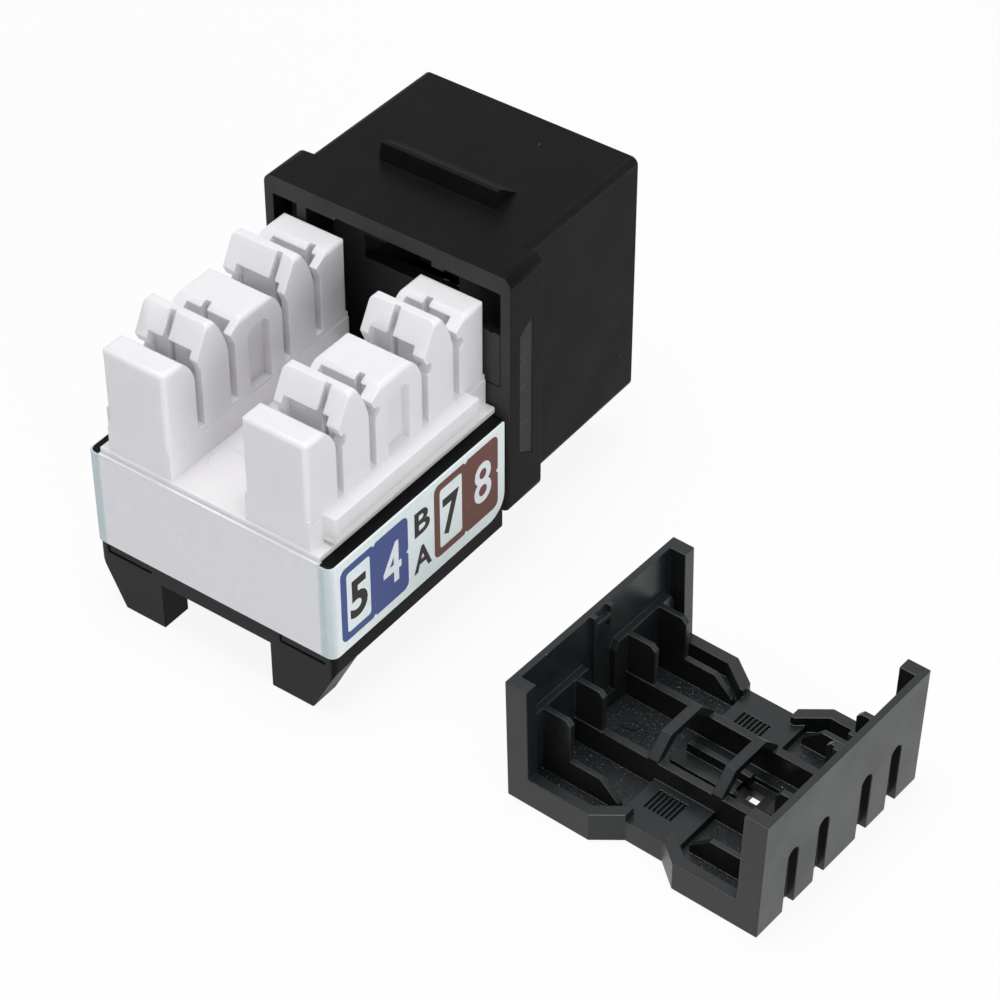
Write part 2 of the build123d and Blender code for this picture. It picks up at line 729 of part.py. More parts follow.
# Stuffer cap in its own frame: middle of its floor's underside at the origin, open side up
with BuildPart() as cap_shape:
    with BuildSketch():
        outline(cap_plan)
    extrude(amount=cap_lip_height)
    with BuildSketch(Plane.XY.offset(cap_floor)):
        outline(cap_plan)
        offset(amount=-cap_lip, kind=Kind.INTERSECTION, mode=Mode.REPLACE)
    extrude(amount=cap_lip_height - cap_floor, mode=Mode.SUBTRACT)
    for end, throat in ((-1, cap_notch_throat), (1, cap_far_throat)):
        block(-throat, cap_notch_throat, end * (cap_throat_y - cap_lip), end * cap_end,
              cap_throat_height, cap_lip_height, mode=Mode.SUBTRACT)
        block(-cap_pad_half, cap_pad_half, end * cap_pad_start, end * (cap_throat_y - cap_lip / 2),
              cap_floor, cap_throat_height)
        for i in range(cap_tooth_count):
            tooth = cap_tooth_middle + (i - (cap_tooth_count - 1) / 2) * cap_tooth_pitch
            block(tooth - cap_tooth_width / 2, tooth + cap_tooth_width / 2, end * cap_tooth_start,
                  end * (cap_tooth_start + cap_tooth_length), cap_throat_height - cap_tooth_depth,
                  cap_throat_height, mode=Mode.SUBTRACT)
        block(-cap_root, cap_root, end * (cap_rail_y - cap_rail / 2), end * (cap_rail_y + cap_rail / 2),
              cap_floor, cap_rail_height)
        block(cap_arch_places[0], cap_arch_places[1], end * (cap_bar_place - cap_bar_width / 2),
              end * (cap_bar_place + cap_bar_width / 2), cap_floor, cap_bar_height)
    for side in (-1, 1):
        rib_tip = cap_inner - cap_rib_reach
        with BuildSketch(across(-cap_end)):
            outline([
                (side * cap_inner, 0),
                (side * cap_half, 0),
                (side * (cap_half + cap_lean), cap_height),
                (side * (cap_inner + cap_lean), cap_height),
            ])
        extrude(amount=-cap_length)
        for end in (-1, 1):
            with BuildSketch(across(end * (cap_end - cap_post_depth / 2) - cap_post_depth / 2)):
                outline([
                    (side * (cap_half - cap_post_width), 0),
                    (side * cap_half, 0),
                    (side * (cap_half + cap_lean), cap_height),
                    (side * (cap_half + cap_lean - cap_post_width), cap_height),
                ])
            extrude(amount=-cap_post_depth)
            for place in (cap_rail_y, cap_sill_y):
                with BuildSketch(across(end * place - cap_rib / 2)):
                    outline([
                        (side * cap_root, cap_floor),
                        (side * cap_root, cap_rib_top),
                        (side * (rib_tip + cap_rib_chamfer), cap_rib_top),
                        (side * rib_tip, cap_rib_top - cap_rib_chamfer),
                        (side * rib_tip, cap_floor),
                    ])
                extrude(amount=-cap_rib)
            with BuildSketch(across(end * cap_sill_y - cap_rib / 2)):
                outline([
                    (side * cap_inner, cap_floor),
                    (side * cap_inner, cap_sill_height),
                    (side * cap_sill_half, cap_sill_height),
                    (side * cap_sill_foot, cap_floor + cap_sill_toe),
                    (side * cap_sill_foot, cap_floor),
                ])
            extrude(amount=-cap_rib)
            with BuildSketch(Plane.YZ.offset(side * (cap_inner - cap_ledge))):
                ledge_near = cap_rail_y - cap_ledge_over
                ledge_far = cap_sill_y + cap_ledge_over
                outline([
                    (end * ledge_near, cap_floor),
                    (end * ledge_near, cap_rib_top - cap_ledge_drop),
                    (end * (ledge_near + cap_ledge_ease), cap_rib_top),
                    (end * (ledge_far - cap_ledge_ease), cap_rib_top),
                    (end * ledge_far, cap_rib_top - cap_ledge_drop),
                    (end * ledge_far, cap_floor),
                ])
            extrude(amount=side * (cap_ledge + cap_wall / 2))
        with BuildSketch(Plane.YZ.offset(side * (cap_inner - cap_frame_depth))):
            outline([
                (cap_frame_start, cap_floor),
                (cap_frame_start, cap_height),
                (cap_frame_start + cap_frame_band, cap_height),
                (cap_frame_start + cap_frame_band, cap_frame_foot + cap_frame_band),
                (cap_frame_end - cap_frame_band, cap_frame_foot + cap_frame_band),
                (cap_frame_end - cap_frame_band, cap_height),
                (cap_frame_end, cap_height),
                (cap_frame_end, cap_frame_tail),
                (cap_frame_end - cap_frame_band, cap_frame_tail),
                (cap_frame_end - cap_frame_band, cap_frame_foot),
                (cap_frame_start + cap_frame_band, cap_frame_foot),
                (cap_frame_start + cap_frame_band, cap_floor),
            ])
        extrude(amount=side * (cap_frame_depth + cap_wall))
        with BuildSketch(Plane.YZ.offset(side * (cap_half - cap_grip_depth))):
            for place in cap_grip_places:
                with Locations((place, 0)):
                    Rectangle(cap_grip_width, 2 * cap_grip_top - cap_grip_width)
                with Locations((place, cap_grip_top - cap_grip_width / 2)):
                    Circle(cap_grip_width / 2)
        extrude(amount=side * (cap_grip_depth + cap_lean), mode=Mode.SUBTRACT)
    for x in cap_arch_places:
        with BuildSketch(Plane.YZ.offset(x - cap_arch / 2)):
            outer_y = cap_rail_y + cap_rail / 2
            inner_y = outer_y - cap_arch_band
            outline([
                (-outer_y, cap_floor),
                (-outer_y, cap_arch_top - cap_arch_shoulder),
                (-outer_y + cap_arch_shoulder, cap_arch_top),
                (outer_y - cap_arch_shoulder, cap_arch_top),
                (outer_y, cap_arch_top - cap_arch_shoulder),
                (outer_y, cap_floor),
                (inner_y, cap_floor),
                (inner_y, cap_arch_top - cap_arch_shoulder - cap_arch_band / 2),
                (inner_y - cap_arch_shoulder, cap_arch_top - cap_arch_band),
                (-inner_y + cap_arch_shoulder, cap_arch_top - cap_arch_band),
                (-inner_y, cap_arch_top - cap_arch_shoulder - cap_arch_band / 2),
                (-inner_y, cap_floor),
            ])
        extrude(amount=cap_arch)
    block(cap_hole_place[0] - cap_well / 2, cap_hole_place[0] + cap_well / 2,
          cap_hole_place[1] - cap_well / 2, cap_hole_place[1] + cap_well / 2,
          cap_floor - cap_well_depth, cap_floor, mode=Mode.SUBTRACT)
    block(cap_hole_place[0] - cap_hole / 2, cap_hole_place[0] + cap_hole / 2,
          cap_hole_place[1] - cap_hole / 2, cap_hole_place[1] + cap_hole / 2,
          0, cap_floor, mode=Mode.SUBTRACT)

# Stuffer cap in its place on the bench beside the jack
with BuildPart() as stuffer_cap:
    add(cap_shape.part.moved(Location((cap_centre[0], cap_centre[1], bench), (0, 0, cap_turn))))
stuffer_cap.part.label = "stuffer_cap"

os.makedirs("parts", exist_ok=True)
export_step(front_housing.part, "parts/front_housing.step")
export_step(latch_arm.part, "parts/latch_arm.step")
export_step(rear_tray.part, "parts/rear_tray.step")
export_step(circuit_board.part, "parts/circuit_board.step")
export_step(wire_block.part, "parts/wire_block.step")
export_step(contact_comb.part, "parts/contact_comb.step")
export_step(wiring_label.part, "parts/wiring_label.step")
export_step(stuffer_cap.part, "parts/stuffer_cap.step")
for piece in blades + wires:
    export_step(piece, f"parts/{piece.label}.step")
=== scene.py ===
"""Finishes, printed label, moulding grain and studio for a keystone jack with its loose stuffer cap."""

import math

import bmesh
import bpy
from bpy.props import FloatProperty, FloatVectorProperty, IntProperty, PointerProperty
from mathutils import Matrix, Vector


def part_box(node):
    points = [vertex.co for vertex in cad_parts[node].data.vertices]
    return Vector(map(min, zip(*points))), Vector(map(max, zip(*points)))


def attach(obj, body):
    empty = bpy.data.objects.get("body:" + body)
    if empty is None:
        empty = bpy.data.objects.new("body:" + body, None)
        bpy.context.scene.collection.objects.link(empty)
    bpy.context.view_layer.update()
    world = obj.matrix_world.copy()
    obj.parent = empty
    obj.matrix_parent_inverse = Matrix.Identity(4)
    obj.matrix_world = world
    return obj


bl_info = {
    "name": "Keystone jack finishes",
    "version": (1, 0, 0),
    "blender": (4, 5, 0),
    "location": "View3D > Sidebar > Jack",
    "description": "Gives the packed jack its plastics, metals, printed label, moulding grain and studio",
    "category": "Object",
}

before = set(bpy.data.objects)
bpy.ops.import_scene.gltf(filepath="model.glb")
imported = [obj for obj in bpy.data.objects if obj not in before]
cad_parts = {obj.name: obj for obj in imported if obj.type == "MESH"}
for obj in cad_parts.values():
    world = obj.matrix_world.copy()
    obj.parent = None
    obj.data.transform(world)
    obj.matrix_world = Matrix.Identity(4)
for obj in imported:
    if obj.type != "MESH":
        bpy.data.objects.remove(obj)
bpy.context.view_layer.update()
MM = 0.001
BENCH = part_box("rear_tray")[0].z
LABEL_LOW, LABEL_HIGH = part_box("wiring_label")
CAP_LOW, CAP_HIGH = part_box("stuffer_cap")

# Small forms added to the mouldings, in millimetres: outlines, the two places that each runs between, and
# the width of their rounded edges
PANEL_OUTLINE = (
    (6.22, 0.62), (7.48, 0.62), (7.48, 4.06), (7.3, 4.02), (7.22, 4.1),
    (7.0, 4.04), (6.86, 3.95), (6.7, 4.03), (6.22, 4.05),
)
PANEL_SPAN = (-2.83, -2.1)
SKIRT_OUTLINE = ((6.6, 0.2), (7.604, 0.2), (7.604, -0.36), (7.56, -0.43), (7.45, -0.47), (6.6, -0.47))
SKIRT_SPAN = (-16.78, -4.82)
LIP_OUTLINE = ((-18.02, -1.14), (-18.02, -1.05), (-17.99, -1.03), (-17.7, -1.03), (-17.7, -1.14))
LIP_SPAN = (-7.35, 7.35)
TRIM_EDGE = 0.02
# The window panel is painted this many times as light as the housing, as painted light in its shaded window
PANEL_LIGHTNESS = 2.2

# Fillers that slope the finger pockets, in millimetres: outline, and reach of the floor and of each corner
RAMP_OUTLINE = ((-2.0, 3.71), (-0.86, 4.39), (-0.86, -4.79), (-2.0, -4.09))
RAMP_FLOOR = 7.78
RAMP_FACE = (8.148, 8.11, 8.11, 8.148)

# Stuffer cap on the bench: its turn in degrees, and its floor's height above the bench in millimetres
CAP_TURN = -2.6
CAP_FLOOR = 0.8
# Grained parts of that floor round the ribs and the hole: left, right, rear and front, in millimetres
FLOOR_FIELDS = (
    (-6.9, -2.35, -5.9, 5.9), (2.35, 6.9, -5.9, -1.0), (2.35, 6.9, 1.5, 5.9), (3.6, 6.9, -1.0, 1.5),
)
# Mould number on that floor: its figure, place, width and height in millimetres, turn in degrees, and
# thickness as a share of the size of the grain
NUMBER = "2"
NUMBER_PLACE = (-5.45, 0.1)
NUMBER_SIZE = (0.8, 1.35)
NUMBER_TURN = -55.0
NUMBER_THICKNESS = 1.5

# Loose triangles are joined where their corners lie this close, in metres
WELD_REACH = 0.0000005
# Edges turning more than this, in degrees, are rounded
SHARP_ANGLE = 28.0
# Flat slivers where the rounded corners of the tower rows meet the ledge, in millimetres.
# Edges within this reach and depth of them stay sharp.
SLIVER_X = (2.5, 6.65)
SLIVER_Y = (-17.75, -3.05)
SLIVER_Z = 1.225
SLIVER_REACH = 0.4
SLIVER_DEPTH = 0.02

# Printed label, in millimetres. Each side has its pairs of tiles from left to right, with their place along
# the jack, rise, ink and figures, and the place of its letters. All of it stands a little above the middle.
INKS = ("label_blue", "label_brown", "label_green", "label_orange")
SIDES = {
    1: {"pairs": ((-14.5, -0.08, 0, "54"), (-6.7, 0.1, 1, "78")), "letters": -10.5},
    -1: {"pairs": ((-6.7, 0.0, 2, "12"), (-14.5, 0.0, 3, "36")), "letters": -10.6},
}
PRINT_RISE = 0.12
# Rise, weight, width and height of the figures on the pale window and on the solid tile
WINDOW_FIGURE = (-0.1, 0.03, 1.42, 2.6)
SOLID_FIGURE = (0.05, 0.012, 1.5, 2.72)
# Letters with their rise and width, then their weight and height
LETTERS = (("B", 1.13, 1.3), ("A", -1.35, 1.5))
LETTER_WEIGHT = 0.025
LETTER_HEIGHT = 1.65
# Figures drawn here instead of taken from the font, as outer and inner outlines
DRAWN_FIGURES = {
    "1": (
        ((0.3, 0.69), (0.22, 0.69), (0.06, 0.58), (0.06, 0.47), (0.19, 0.55), (0.19, 0.0), (0.3, 0.0)),
    ),
    "4": (
        ((0.398, 0.691), (0.33, 0.691), (0.011, 0.269), (0.011, 0.2), (0.29, 0.2), (0.29, 0.0),
         (0.398, 0.0), (0.398, 0.2), (0.471, 0.2), (0.471, 0.3), (0.398, 0.3)),
        ((0.29, 0.5), (0.29, 0.3), (0.142, 0.3)),
    ),
}
# Share of the others' width that a narrow figure has
NARROW_FIGURES = {"1": 0.55}

# Stage, in metres: name, place, size and power setting of each lamp, and what the lamps are aimed at
LAMPS = (
    ("overhead_lamp", (0.0, -0.02, 0.3), 0.16, "key"),
    ("right_lamp", (0.3, -0.12, 0.09), 0.2, "side"),
    ("rear_lamp", (-0.05, -0.3, 0.1), 0.2, "rear"),
)
LAMP_AIM = (0.01, -0.008, 0.0)
BENCH_REACH = 1.5
BENCH_DROP = 0.000002
AMBIENT_TINT = (0.9, 0.93, 1.0, 1.0)
# Point that the camera turns about and the nearest and farthest place it sees, in metres, and the width of
# its sensor in millimetres
CAMERA_CENTRE = Vector((0.0, -17.9 * MM, -7.275 * MM))
CAMERA_NEAR, CAMERA_FAR = 0.005, 10.0
SENSOR_WIDTH = 36.0

BLACK = (0.0, 0.0, 0.0, 1.0)
WHITE = (1.0, 1.0, 1.0, 1.0)
# What every colour property has
COLOUR = {"subtype": "COLOR", "size": 3, "min": 0, "max": 1}


class PlasticSettings(bpy.types.PropertyGroup):
    """Colours and surface of the mouldings."""

    black: FloatVectorProperty(
        name="Black", description="Colour of the housing, latch and tray",
        default=(0.0052, 0.0052, 0.0054), **COLOUR,
    )
    cap_black: FloatVectorProperty(
        name="Cap black", description="Colour of the loose cap",
        default=(0.009, 0.0125, 0.014), **COLOUR,
    )
    white: FloatVectorProperty(
        name="White", description="Colour of the wire block",
        default=(0.82, 0.81, 0.825), **COLOUR,
    )
    comb_grey: FloatVectorProperty(
        name="Comb grey", description="Colour of the contact comb",
        default=(0.03, 0.03, 0.031), **COLOUR,
    )
    grain: FloatProperty(
        name="Grain", description="Size of the moulding grain", unit="LENGTH", default=0.00006,
    )


class EdgeSettings(bpy.types.PropertyGroup):
    """Width of the softened edges of each moulding."""

    housing: FloatProperty(
        name="Housing", description="Softened edges of the front housing", unit="LENGTH", default=0.00005,
    )
    latch: FloatProperty(
        name="Latch", description="Softened edges of the latch arm", unit="LENGTH", default=0.00008,
    )
    tray: FloatProperty(
        name="Tray", description="Softened edges of the rear tray", unit="LENGTH", default=0.00008,
    )
    block: FloatProperty(
        name="Wire block", description="Softened edges of the wire block", unit="LENGTH", default=0.00006,
    )
    cap: FloatProperty(
        name="Cap", description="Softened edges of the stuffer cap", unit="LENGTH", default=0.00006,
    )
    metal: FloatProperty(
        name="Metal", description="Softened edges of blades and wires", unit="LENGTH", default=0.00003,
    )


class LabelSettings(bpy.types.PropertyGroup):
    """Sizes and colours of the printed label."""

    tile_width: FloatProperty(
        name="Tile pair width", description="Width of one pair of tiles", unit="LENGTH", default=0.00556,
    )
    tile_height: FloatProperty(
        name="Tile height", description="Height of the tiles", unit="LENGTH", default=0.00495,
    )
    tile_corner: FloatProperty(
        name="Tile corner", description="Corner radius of a pair of tiles", unit="LENGTH", default=0.00045,
    )
    border: FloatProperty(
        name="Border", description="Coloured border round the pale window", unit="LENGTH", default=0.00048,
    )
    window_width: FloatProperty(
        name="Window width", description="Width of the pale window", unit="LENGTH", default=0.00192,
    )
    nick: FloatProperty(
        name="Nick", description="Size of the small nicks in the tile edges", unit="LENGTH", default=0.00016,
    )
    ink: FloatProperty(
        name="Ink thickness", description="How far the print stands on the film", unit="LENGTH",
        default=0.000008,
    )
    film_edge: FloatProperty(
        name="Film edge", description="Softened edges of the film", unit="LENGTH", default=0.00002,
    )
    film: FloatVectorProperty(
        name="Film", description="Colour of the film on the sides",
        default=(0.87, 0.95, 0.95), **COLOUR,
    )
    film_rear: FloatVectorProperty(
        name="Film at the rear", description="Colour of the film across the rear",
        default=(0.80, 0.79, 0.81), **COLOUR,
    )
    film_fold: FloatVectorProperty(
        name="Film at the corners", description="Colour where the film turns the corners",
        default=(0.52, 0.62, 0.64), **COLOUR,
    )
    blue: FloatVectorProperty(
        name="Blue", description="Ink of the first pair on the right",
        default=(0.065, 0.095, 0.27), **COLOUR,
    )
    brown: FloatVectorProperty(
        name="Brown", description="Ink of the second pair on the right",
        default=(0.16, 0.062, 0.048), **COLOUR,
    )
    green: FloatVectorProperty(
        name="Green", description="Ink of the first pair on the left",
        default=(0.04, 0.21, 0.085), **COLOUR,
    )
    orange: FloatVectorProperty(
        name="Orange", description="Ink of the second pair on the left",
        default=(0.62, 0.16, 0.025), **COLOUR,
    )
    dark: FloatVectorProperty(
        name="Dark ink", description="Ink of the dark figures and letters",
        default=(0.028, 0.024, 0.022), **COLOUR,
    )
    pale: FloatVectorProperty(
        name="Pale ink", description="Ink of the pale figures on the tiles",
        default=(0.87, 0.91, 0.93), **COLOUR,
    )


class GrainSettings(bpy.types.PropertyGroup):
    """Coarse eroded grain on the floor of the cap."""

    density: FloatProperty(
        name="Density", description="Grains per square millimetre", min=0, default=52.0,
    )
    size: FloatProperty(
        name="Size", description="Mean radius of a grain", unit="LENGTH", default=0.00006,
    )
    seed: IntProperty(name="Seed", description="Order of the scatter", default=4)


class StudioSettings(bpy.types.PropertyGroup):
    """Camera and lamps."""

    azimuth: FloatProperty(
        name="Azimuth", description="Camera direction round the jack, from behind", unit="ROTATION",
        default=math.radians(36.41),
    )
    elevation: FloatProperty(
        name="Elevation", description="Camera height above the bench", unit="ROTATION",
        default=math.radians(40.89),
    )
    roll: FloatProperty(
        name="Roll", description="Camera roll", unit="ROTATION", default=math.radians(-0.05),
    )
    distance: FloatProperty(
        name="Distance", description="Camera distance", unit="LENGTH", default=0.17397,
    )
    across: FloatProperty(
        name="Across", description="Camera offset to its right", unit="LENGTH", default=0.01495,
    )
    above: FloatProperty(
        name="Above", description="Camera offset upwards", unit="LENGTH", default=0.00509,
    )
    lens: FloatProperty(
        name="Lens", description="Focal length in millimetres", default=119.77,
    )
    key: FloatProperty(name="Key lamp", description="Power of the lamp overhead", default=0.68)
    side: FloatProperty(name="Side lamp", description="Power of the lamp on the right", default=0.42)
    rear: FloatProperty(name="Rear lamp", description="Power of the low lamp behind", default=0.045)
    ambient: FloatProperty(name="Ambient", description="Strength of the surroundings", default=0.27)


def feed(tree, socket, source):
    """Link an input to another socket, or set it to a value."""
    if isinstance(source, bpy.types.NodeSocket):
        tree.links.new(source, socket)
    else:
        socket.default_value = source


def add_node(tree, kind, inputs=None, **settings):
    """New node with its settings, and with each named input linked to a socket or set to a value."""
    made = tree.nodes.new(kind)
    for key, value in settings.items():
        setattr(made, key, value)
    for name, source in (inputs or {}).items():
        feed(tree, made.inputs[name], source)
    return made


def start_material(name):
    """Empty node material with object coordinates: material, tree and the coordinate socket."""
    material = bpy.data.materials.new(name)
    material.use_nodes = True
    tree = material.node_tree
    tree.nodes.clear()
    place = add_node(tree, "ShaderNodeTexCoord").outputs["Object"]
    return material, tree, place


def end_material(tree, inputs):
    """Principled surface with the inputs, joined to the output."""
    shader = add_node(tree, "ShaderNodeBsdfPrincipled", inputs)
    add_node(tree, "ShaderNodeOutputMaterial", {"Surface": shader.outputs["BSDF"]})


def noise(tree, place, size, detail=2.0, stretch=(1.0, 1.0, 1.0), roughness=0.5):
    """Noise with features of about the given size in metres, drawn out along an axis by stretch."""
    mapping = add_node(tree, "ShaderNodeMapping", {
        "Vector": place, "Scale": Vector(1.0 / (size * factor) for factor in stretch),
    })
    return add_node(tree, "ShaderNodeTexNoise", {
        "Vector": mapping.outputs["Vector"], "Scale": 1.0, "Detail": detail, "Roughness": roughness,
    }).outputs["Fac"]


def spread(tree, value, low, high, start=0.3, end=0.7):
    """Map a value between start and end to the range low to high, held at its ends."""
    return add_node(tree, "ShaderNodeMapRange", {
        "Value": value, "From Min": start, "From Max": end, "To Min": low, "To Max": high,
    }).outputs["Result"]


def calculate(tree, operation, *values):
    """One sum, product or test of values, each a socket or a number."""
    made = add_node(tree, "ShaderNodeMath", operation=operation)
    for socket, source in zip(made.inputs, values):
        feed(tree, socket, source)
    return made.outputs[0]


def blend_colour(tree, share, first, second):
    """Mix of two colours, each a socket or three numbers."""
    made = add_node(tree, "ShaderNodeMix", data_type="RGBA")
    feed(tree, made.inputs[0], share)
    colours = [socket for socket in made.inputs if socket.type == "RGBA"]
    for socket, source in zip(colours, (first, second)):
        feed(tree, socket, source if isinstance(source, bpy.types.NodeSocket) else (*source, 1.0))
    return next(socket for socket in made.outputs if socket.type == "RGBA")


def grey(level, blueness=1.0):
    """Grey of a level, its blue raised by a factor."""
    return level, level, level * blueness


def bump(tree, height, depth):
    """Bump of a given depth in metres."""
    return add_node(tree, "ShaderNodeBump", {
        "Height": height, "Distance": depth, "Strength": 1.0,
    }).outputs["Normal"]


# Share of a speck's reach at which it starts to fade
SPECK_CORE = 0.6


def specks(tree, place, spacing, size, shift=0.0):
    """Sparse round specks: 1 inside a speck, 0 elsewhere; the size is a share of the spacing."""
    mapping = add_node(tree, "ShaderNodeMapping", {
        "Vector": place, "Location": Vector((shift,) * 3), "Scale": Vector((1.0 / spacing,) * 3),
    })
    cells = add_node(tree, "ShaderNodeTexVoronoi", {
        "Vector": mapping.outputs["Vector"], "Scale": 1.0, "Randomness": 1.0,
    })
    return spread(tree, cells.outputs["Distance"], 1.0, 0.0, size * SPECK_CORE, size)


# Marks on the black mouldings, in metres, and the dust in them, its size a share of its spacing
BLACK_CLOUD = 0.0035
DRAG_MARK = 0.0009
DRAG_STRETCH = (0.25, 3.0, 0.25)
GRAIN_DEPTH = 0.000004
DUST_SPACING = 0.0016
DUST_SIZE = 0.034
DUST_CLOUD = 0.004
DUST_TINT = (0.32, 0.31, 0.29)
# Painted light on the faces that look back: the greys rear and near lighten them as a painted reflection of
# the bench, near the front also as painted light in the shade of the tray and wire block. How far back they
# look where it starts and where it is full, and in millimetres along the jack, where it ends and between
# which places its grey changes
FACING_BACK = (-0.97, -0.8)
PAINTED_BACK_LIGHT_FRONT = 0.5
PAINTED_BACK_LIGHT_CHANGE = (-12.0, -6.0)


def make_black(name, colour, grain, light=0.013, rear=0.036, near=0.062, shine=(0.36, 0.5), level=0.045):
    """Black moulding: fine grain, cloudy sheen, drag marks, painted light on rear faces and specks of dust.
    """
    material, tree, place = start_material(name)
    cloud = noise(tree, place, BLACK_CLOUD, detail=3.0)
    drag = noise(tree, place, DRAG_MARK, detail=4.0, stretch=DRAG_STRETCH)
    fine = noise(tree, place, grain, detail=2.0)
    tint = blend_colour(tree, spread(tree, cloud, 0.0, 0.35), colour, grey(light, 1.02))
    tint = blend_colour(tree, spread(tree, drag, 0.0, 0.25, 0.58, 0.8), tint, grey(light * 1.6))
    facing = add_node(tree, "ShaderNodeNewGeometry").outputs["Normal"]
    facing = add_node(tree, "ShaderNodeSeparateXYZ", {"Vector": facing}).outputs["Y"]
    along = add_node(tree, "ShaderNodeSeparateXYZ", {"Vector": place}).outputs["Y"]
    # Painted reflection: faces that look back, behind the front, are lightened to the grey of rear and near
    painted_back_light = calculate(tree, "MULTIPLY", spread(tree, facing, 1.0, 0.0, *FACING_BACK),
                       spread(tree, cloud, 0.8, 1.0))
    painted_back_light = calculate(tree, "MULTIPLY", painted_back_light, calculate(tree, "LESS_THAN", along, PAINTED_BACK_LIGHT_FRONT * MM))
    change = spread(tree, along, 0.0, 1.0, *(y * MM for y in PAINTED_BACK_LIGHT_CHANGE))
    wear_and_back_light = blend_colour(tree, change, grey(rear, 1.01), grey(near, 1.01))
    tint = blend_colour(tree, painted_back_light, tint, wear_and_back_light)
    dust = calculate(tree, "MULTIPLY", specks(tree, place, DUST_SPACING, DUST_SIZE),
                     spread(tree, noise(tree, place, DUST_CLOUD), 0.0, 1.0, 0.5, 0.62))
    tint = blend_colour(tree, calculate(tree, "MULTIPLY", dust, 0.6), tint, DUST_TINT)
    gloss = spread(tree, calculate(tree, "ADD", cloud, spread(tree, fine, -0.12, 0.12)), *shine)
    end_material(tree, {
        "Base Color": tint, "Roughness": gloss, "Specular IOR Level": level,
        "Normal": bump(tree, fine, GRAIN_DEPTH),
    })
    return material


# Marks in the white moulding, in metres, and its stray specks, their size a share of their spacing
WHITE_CLOUD = 0.003
WHITE_WARMTH = (0.985, 0.975, 0.97)
WHITE_GRAIN = 0.00009
WHITE_DEPTH = 0.0000025
FLOW_MARK = 0.0012
FLOW_STRETCH = (1.0, 1.0, 4.0)
FLOW_TINT = (0.70, 0.70, 0.75)
STRAY_SPACING = 0.0019
STRAY_SIZE = 0.02
STRAY_TINT = (0.16, 0.15, 0.15)
# How far light runs inside it, in metres, with its share for each colour
GLOW_REACH = 0.0009
GLOW_COLOURS = (0.8, 0.8, 1.0)


def make_white(name, colour):
    """White moulding: slightly translucent, cloudy gloss, faint flow marks and stray dark specks."""
    material, tree, place = start_material(name)
    cloud = noise(tree, place, WHITE_CLOUD, detail=3.0)
    flow = noise(tree, place, FLOW_MARK, detail=3.0, stretch=FLOW_STRETCH)
    fine = noise(tree, place, WHITE_GRAIN, detail=2.0)
    warm = tuple(part * factor for part, factor in zip(colour, WHITE_WARMTH))
    tint = blend_colour(tree, spread(tree, cloud, 0.0, 1.0), colour, warm)
    tint = blend_colour(tree, spread(tree, flow, 0.0, 0.18, 0.55, 0.8), tint, FLOW_TINT)
    stray = specks(tree, place, STRAY_SPACING, STRAY_SIZE, shift=3.0)
    tint = blend_colour(tree, calculate(tree, "MULTIPLY", stray, 0.7), tint, STRAY_TINT)
    end_material(tree, {
        "Base Color": tint, "Roughness": spread(tree, cloud, 0.3, 0.42), "Specular IOR Level": 0.5,
        "Subsurface Weight": 0.4, "Subsurface Radius": GLOW_COLOURS, "Subsurface Scale": GLOW_REACH,
        "Normal": bump(tree, fine, WHITE_DEPTH),
    })
    return material


# Where the film turns a corner, in millimetres in from its sides and its rear, and where its rear part ends
FOLD_SIDE = (0.9, 0.72)
FOLD_REAR = (0.1, 0.42)
REAR_END = (0.3, 0.5)
# Clouds and waves of the film, in metres
FILM_CLOUD = 0.0014
FILM_CLOUD_TINT = (0.74, 0.82, 0.84)
FILM_WAVE = 0.0006
FILM_DEPTH = 0.000006


def make_film(name, settings):
    """Label film: pale on the sides, whiter across the rear and bluish where it turns the corners."""
    material, tree, place = start_material(name)
    parts = add_node(tree, "ShaderNodeSeparateXYZ", {"Vector": place}).outputs
    reach = calculate(tree, "ABSOLUTE", parts["X"])
    near_side = spread(tree, reach, 0.0, 1.0, *(LABEL_HIGH.x - inset * MM for inset in FOLD_SIDE))
    near_rear = spread(tree, parts["Y"], 1.0, 0.0, *(LABEL_LOW.y + inset * MM for inset in FOLD_REAR))
    past_rear = spread(tree, parts["Y"], 0.0, 1.0, *(LABEL_LOW.y + inset * MM for inset in REAR_END))
    cloud = noise(tree, place, FILM_CLOUD, detail=3.0)
    tint = blend_colour(tree, past_rear, settings.film_rear, settings.film)
    tint = blend_colour(tree, calculate(tree, "MULTIPLY", near_side, near_rear), tint, settings.film_fold)
    tint = blend_colour(tree, spread(tree, cloud, 0.0, 0.15), tint, FILM_CLOUD_TINT)
    end_material(tree, {
        "Base Color": tint, "Roughness": spread(tree, cloud, 0.22, 0.34),
        "Specular IOR Level": 0.2,
        "Normal": bump(tree, noise(tree, place, FILM_WAVE), FILM_DEPTH),
    })
    return material


# Uneven cover of the ink, in metres, its colour where thin as a factor and a rise, and its voids, their size
# a share of their spacing
INK_COVER = 0.00045
INK_DEPTH = 0.000003
INK_THIN = (1.25, 0.012)
VOID_SPACING = 0.00075
VOID_SIZE = 0.05
VOID_TINT = (0.55, 0.58, 0.6)


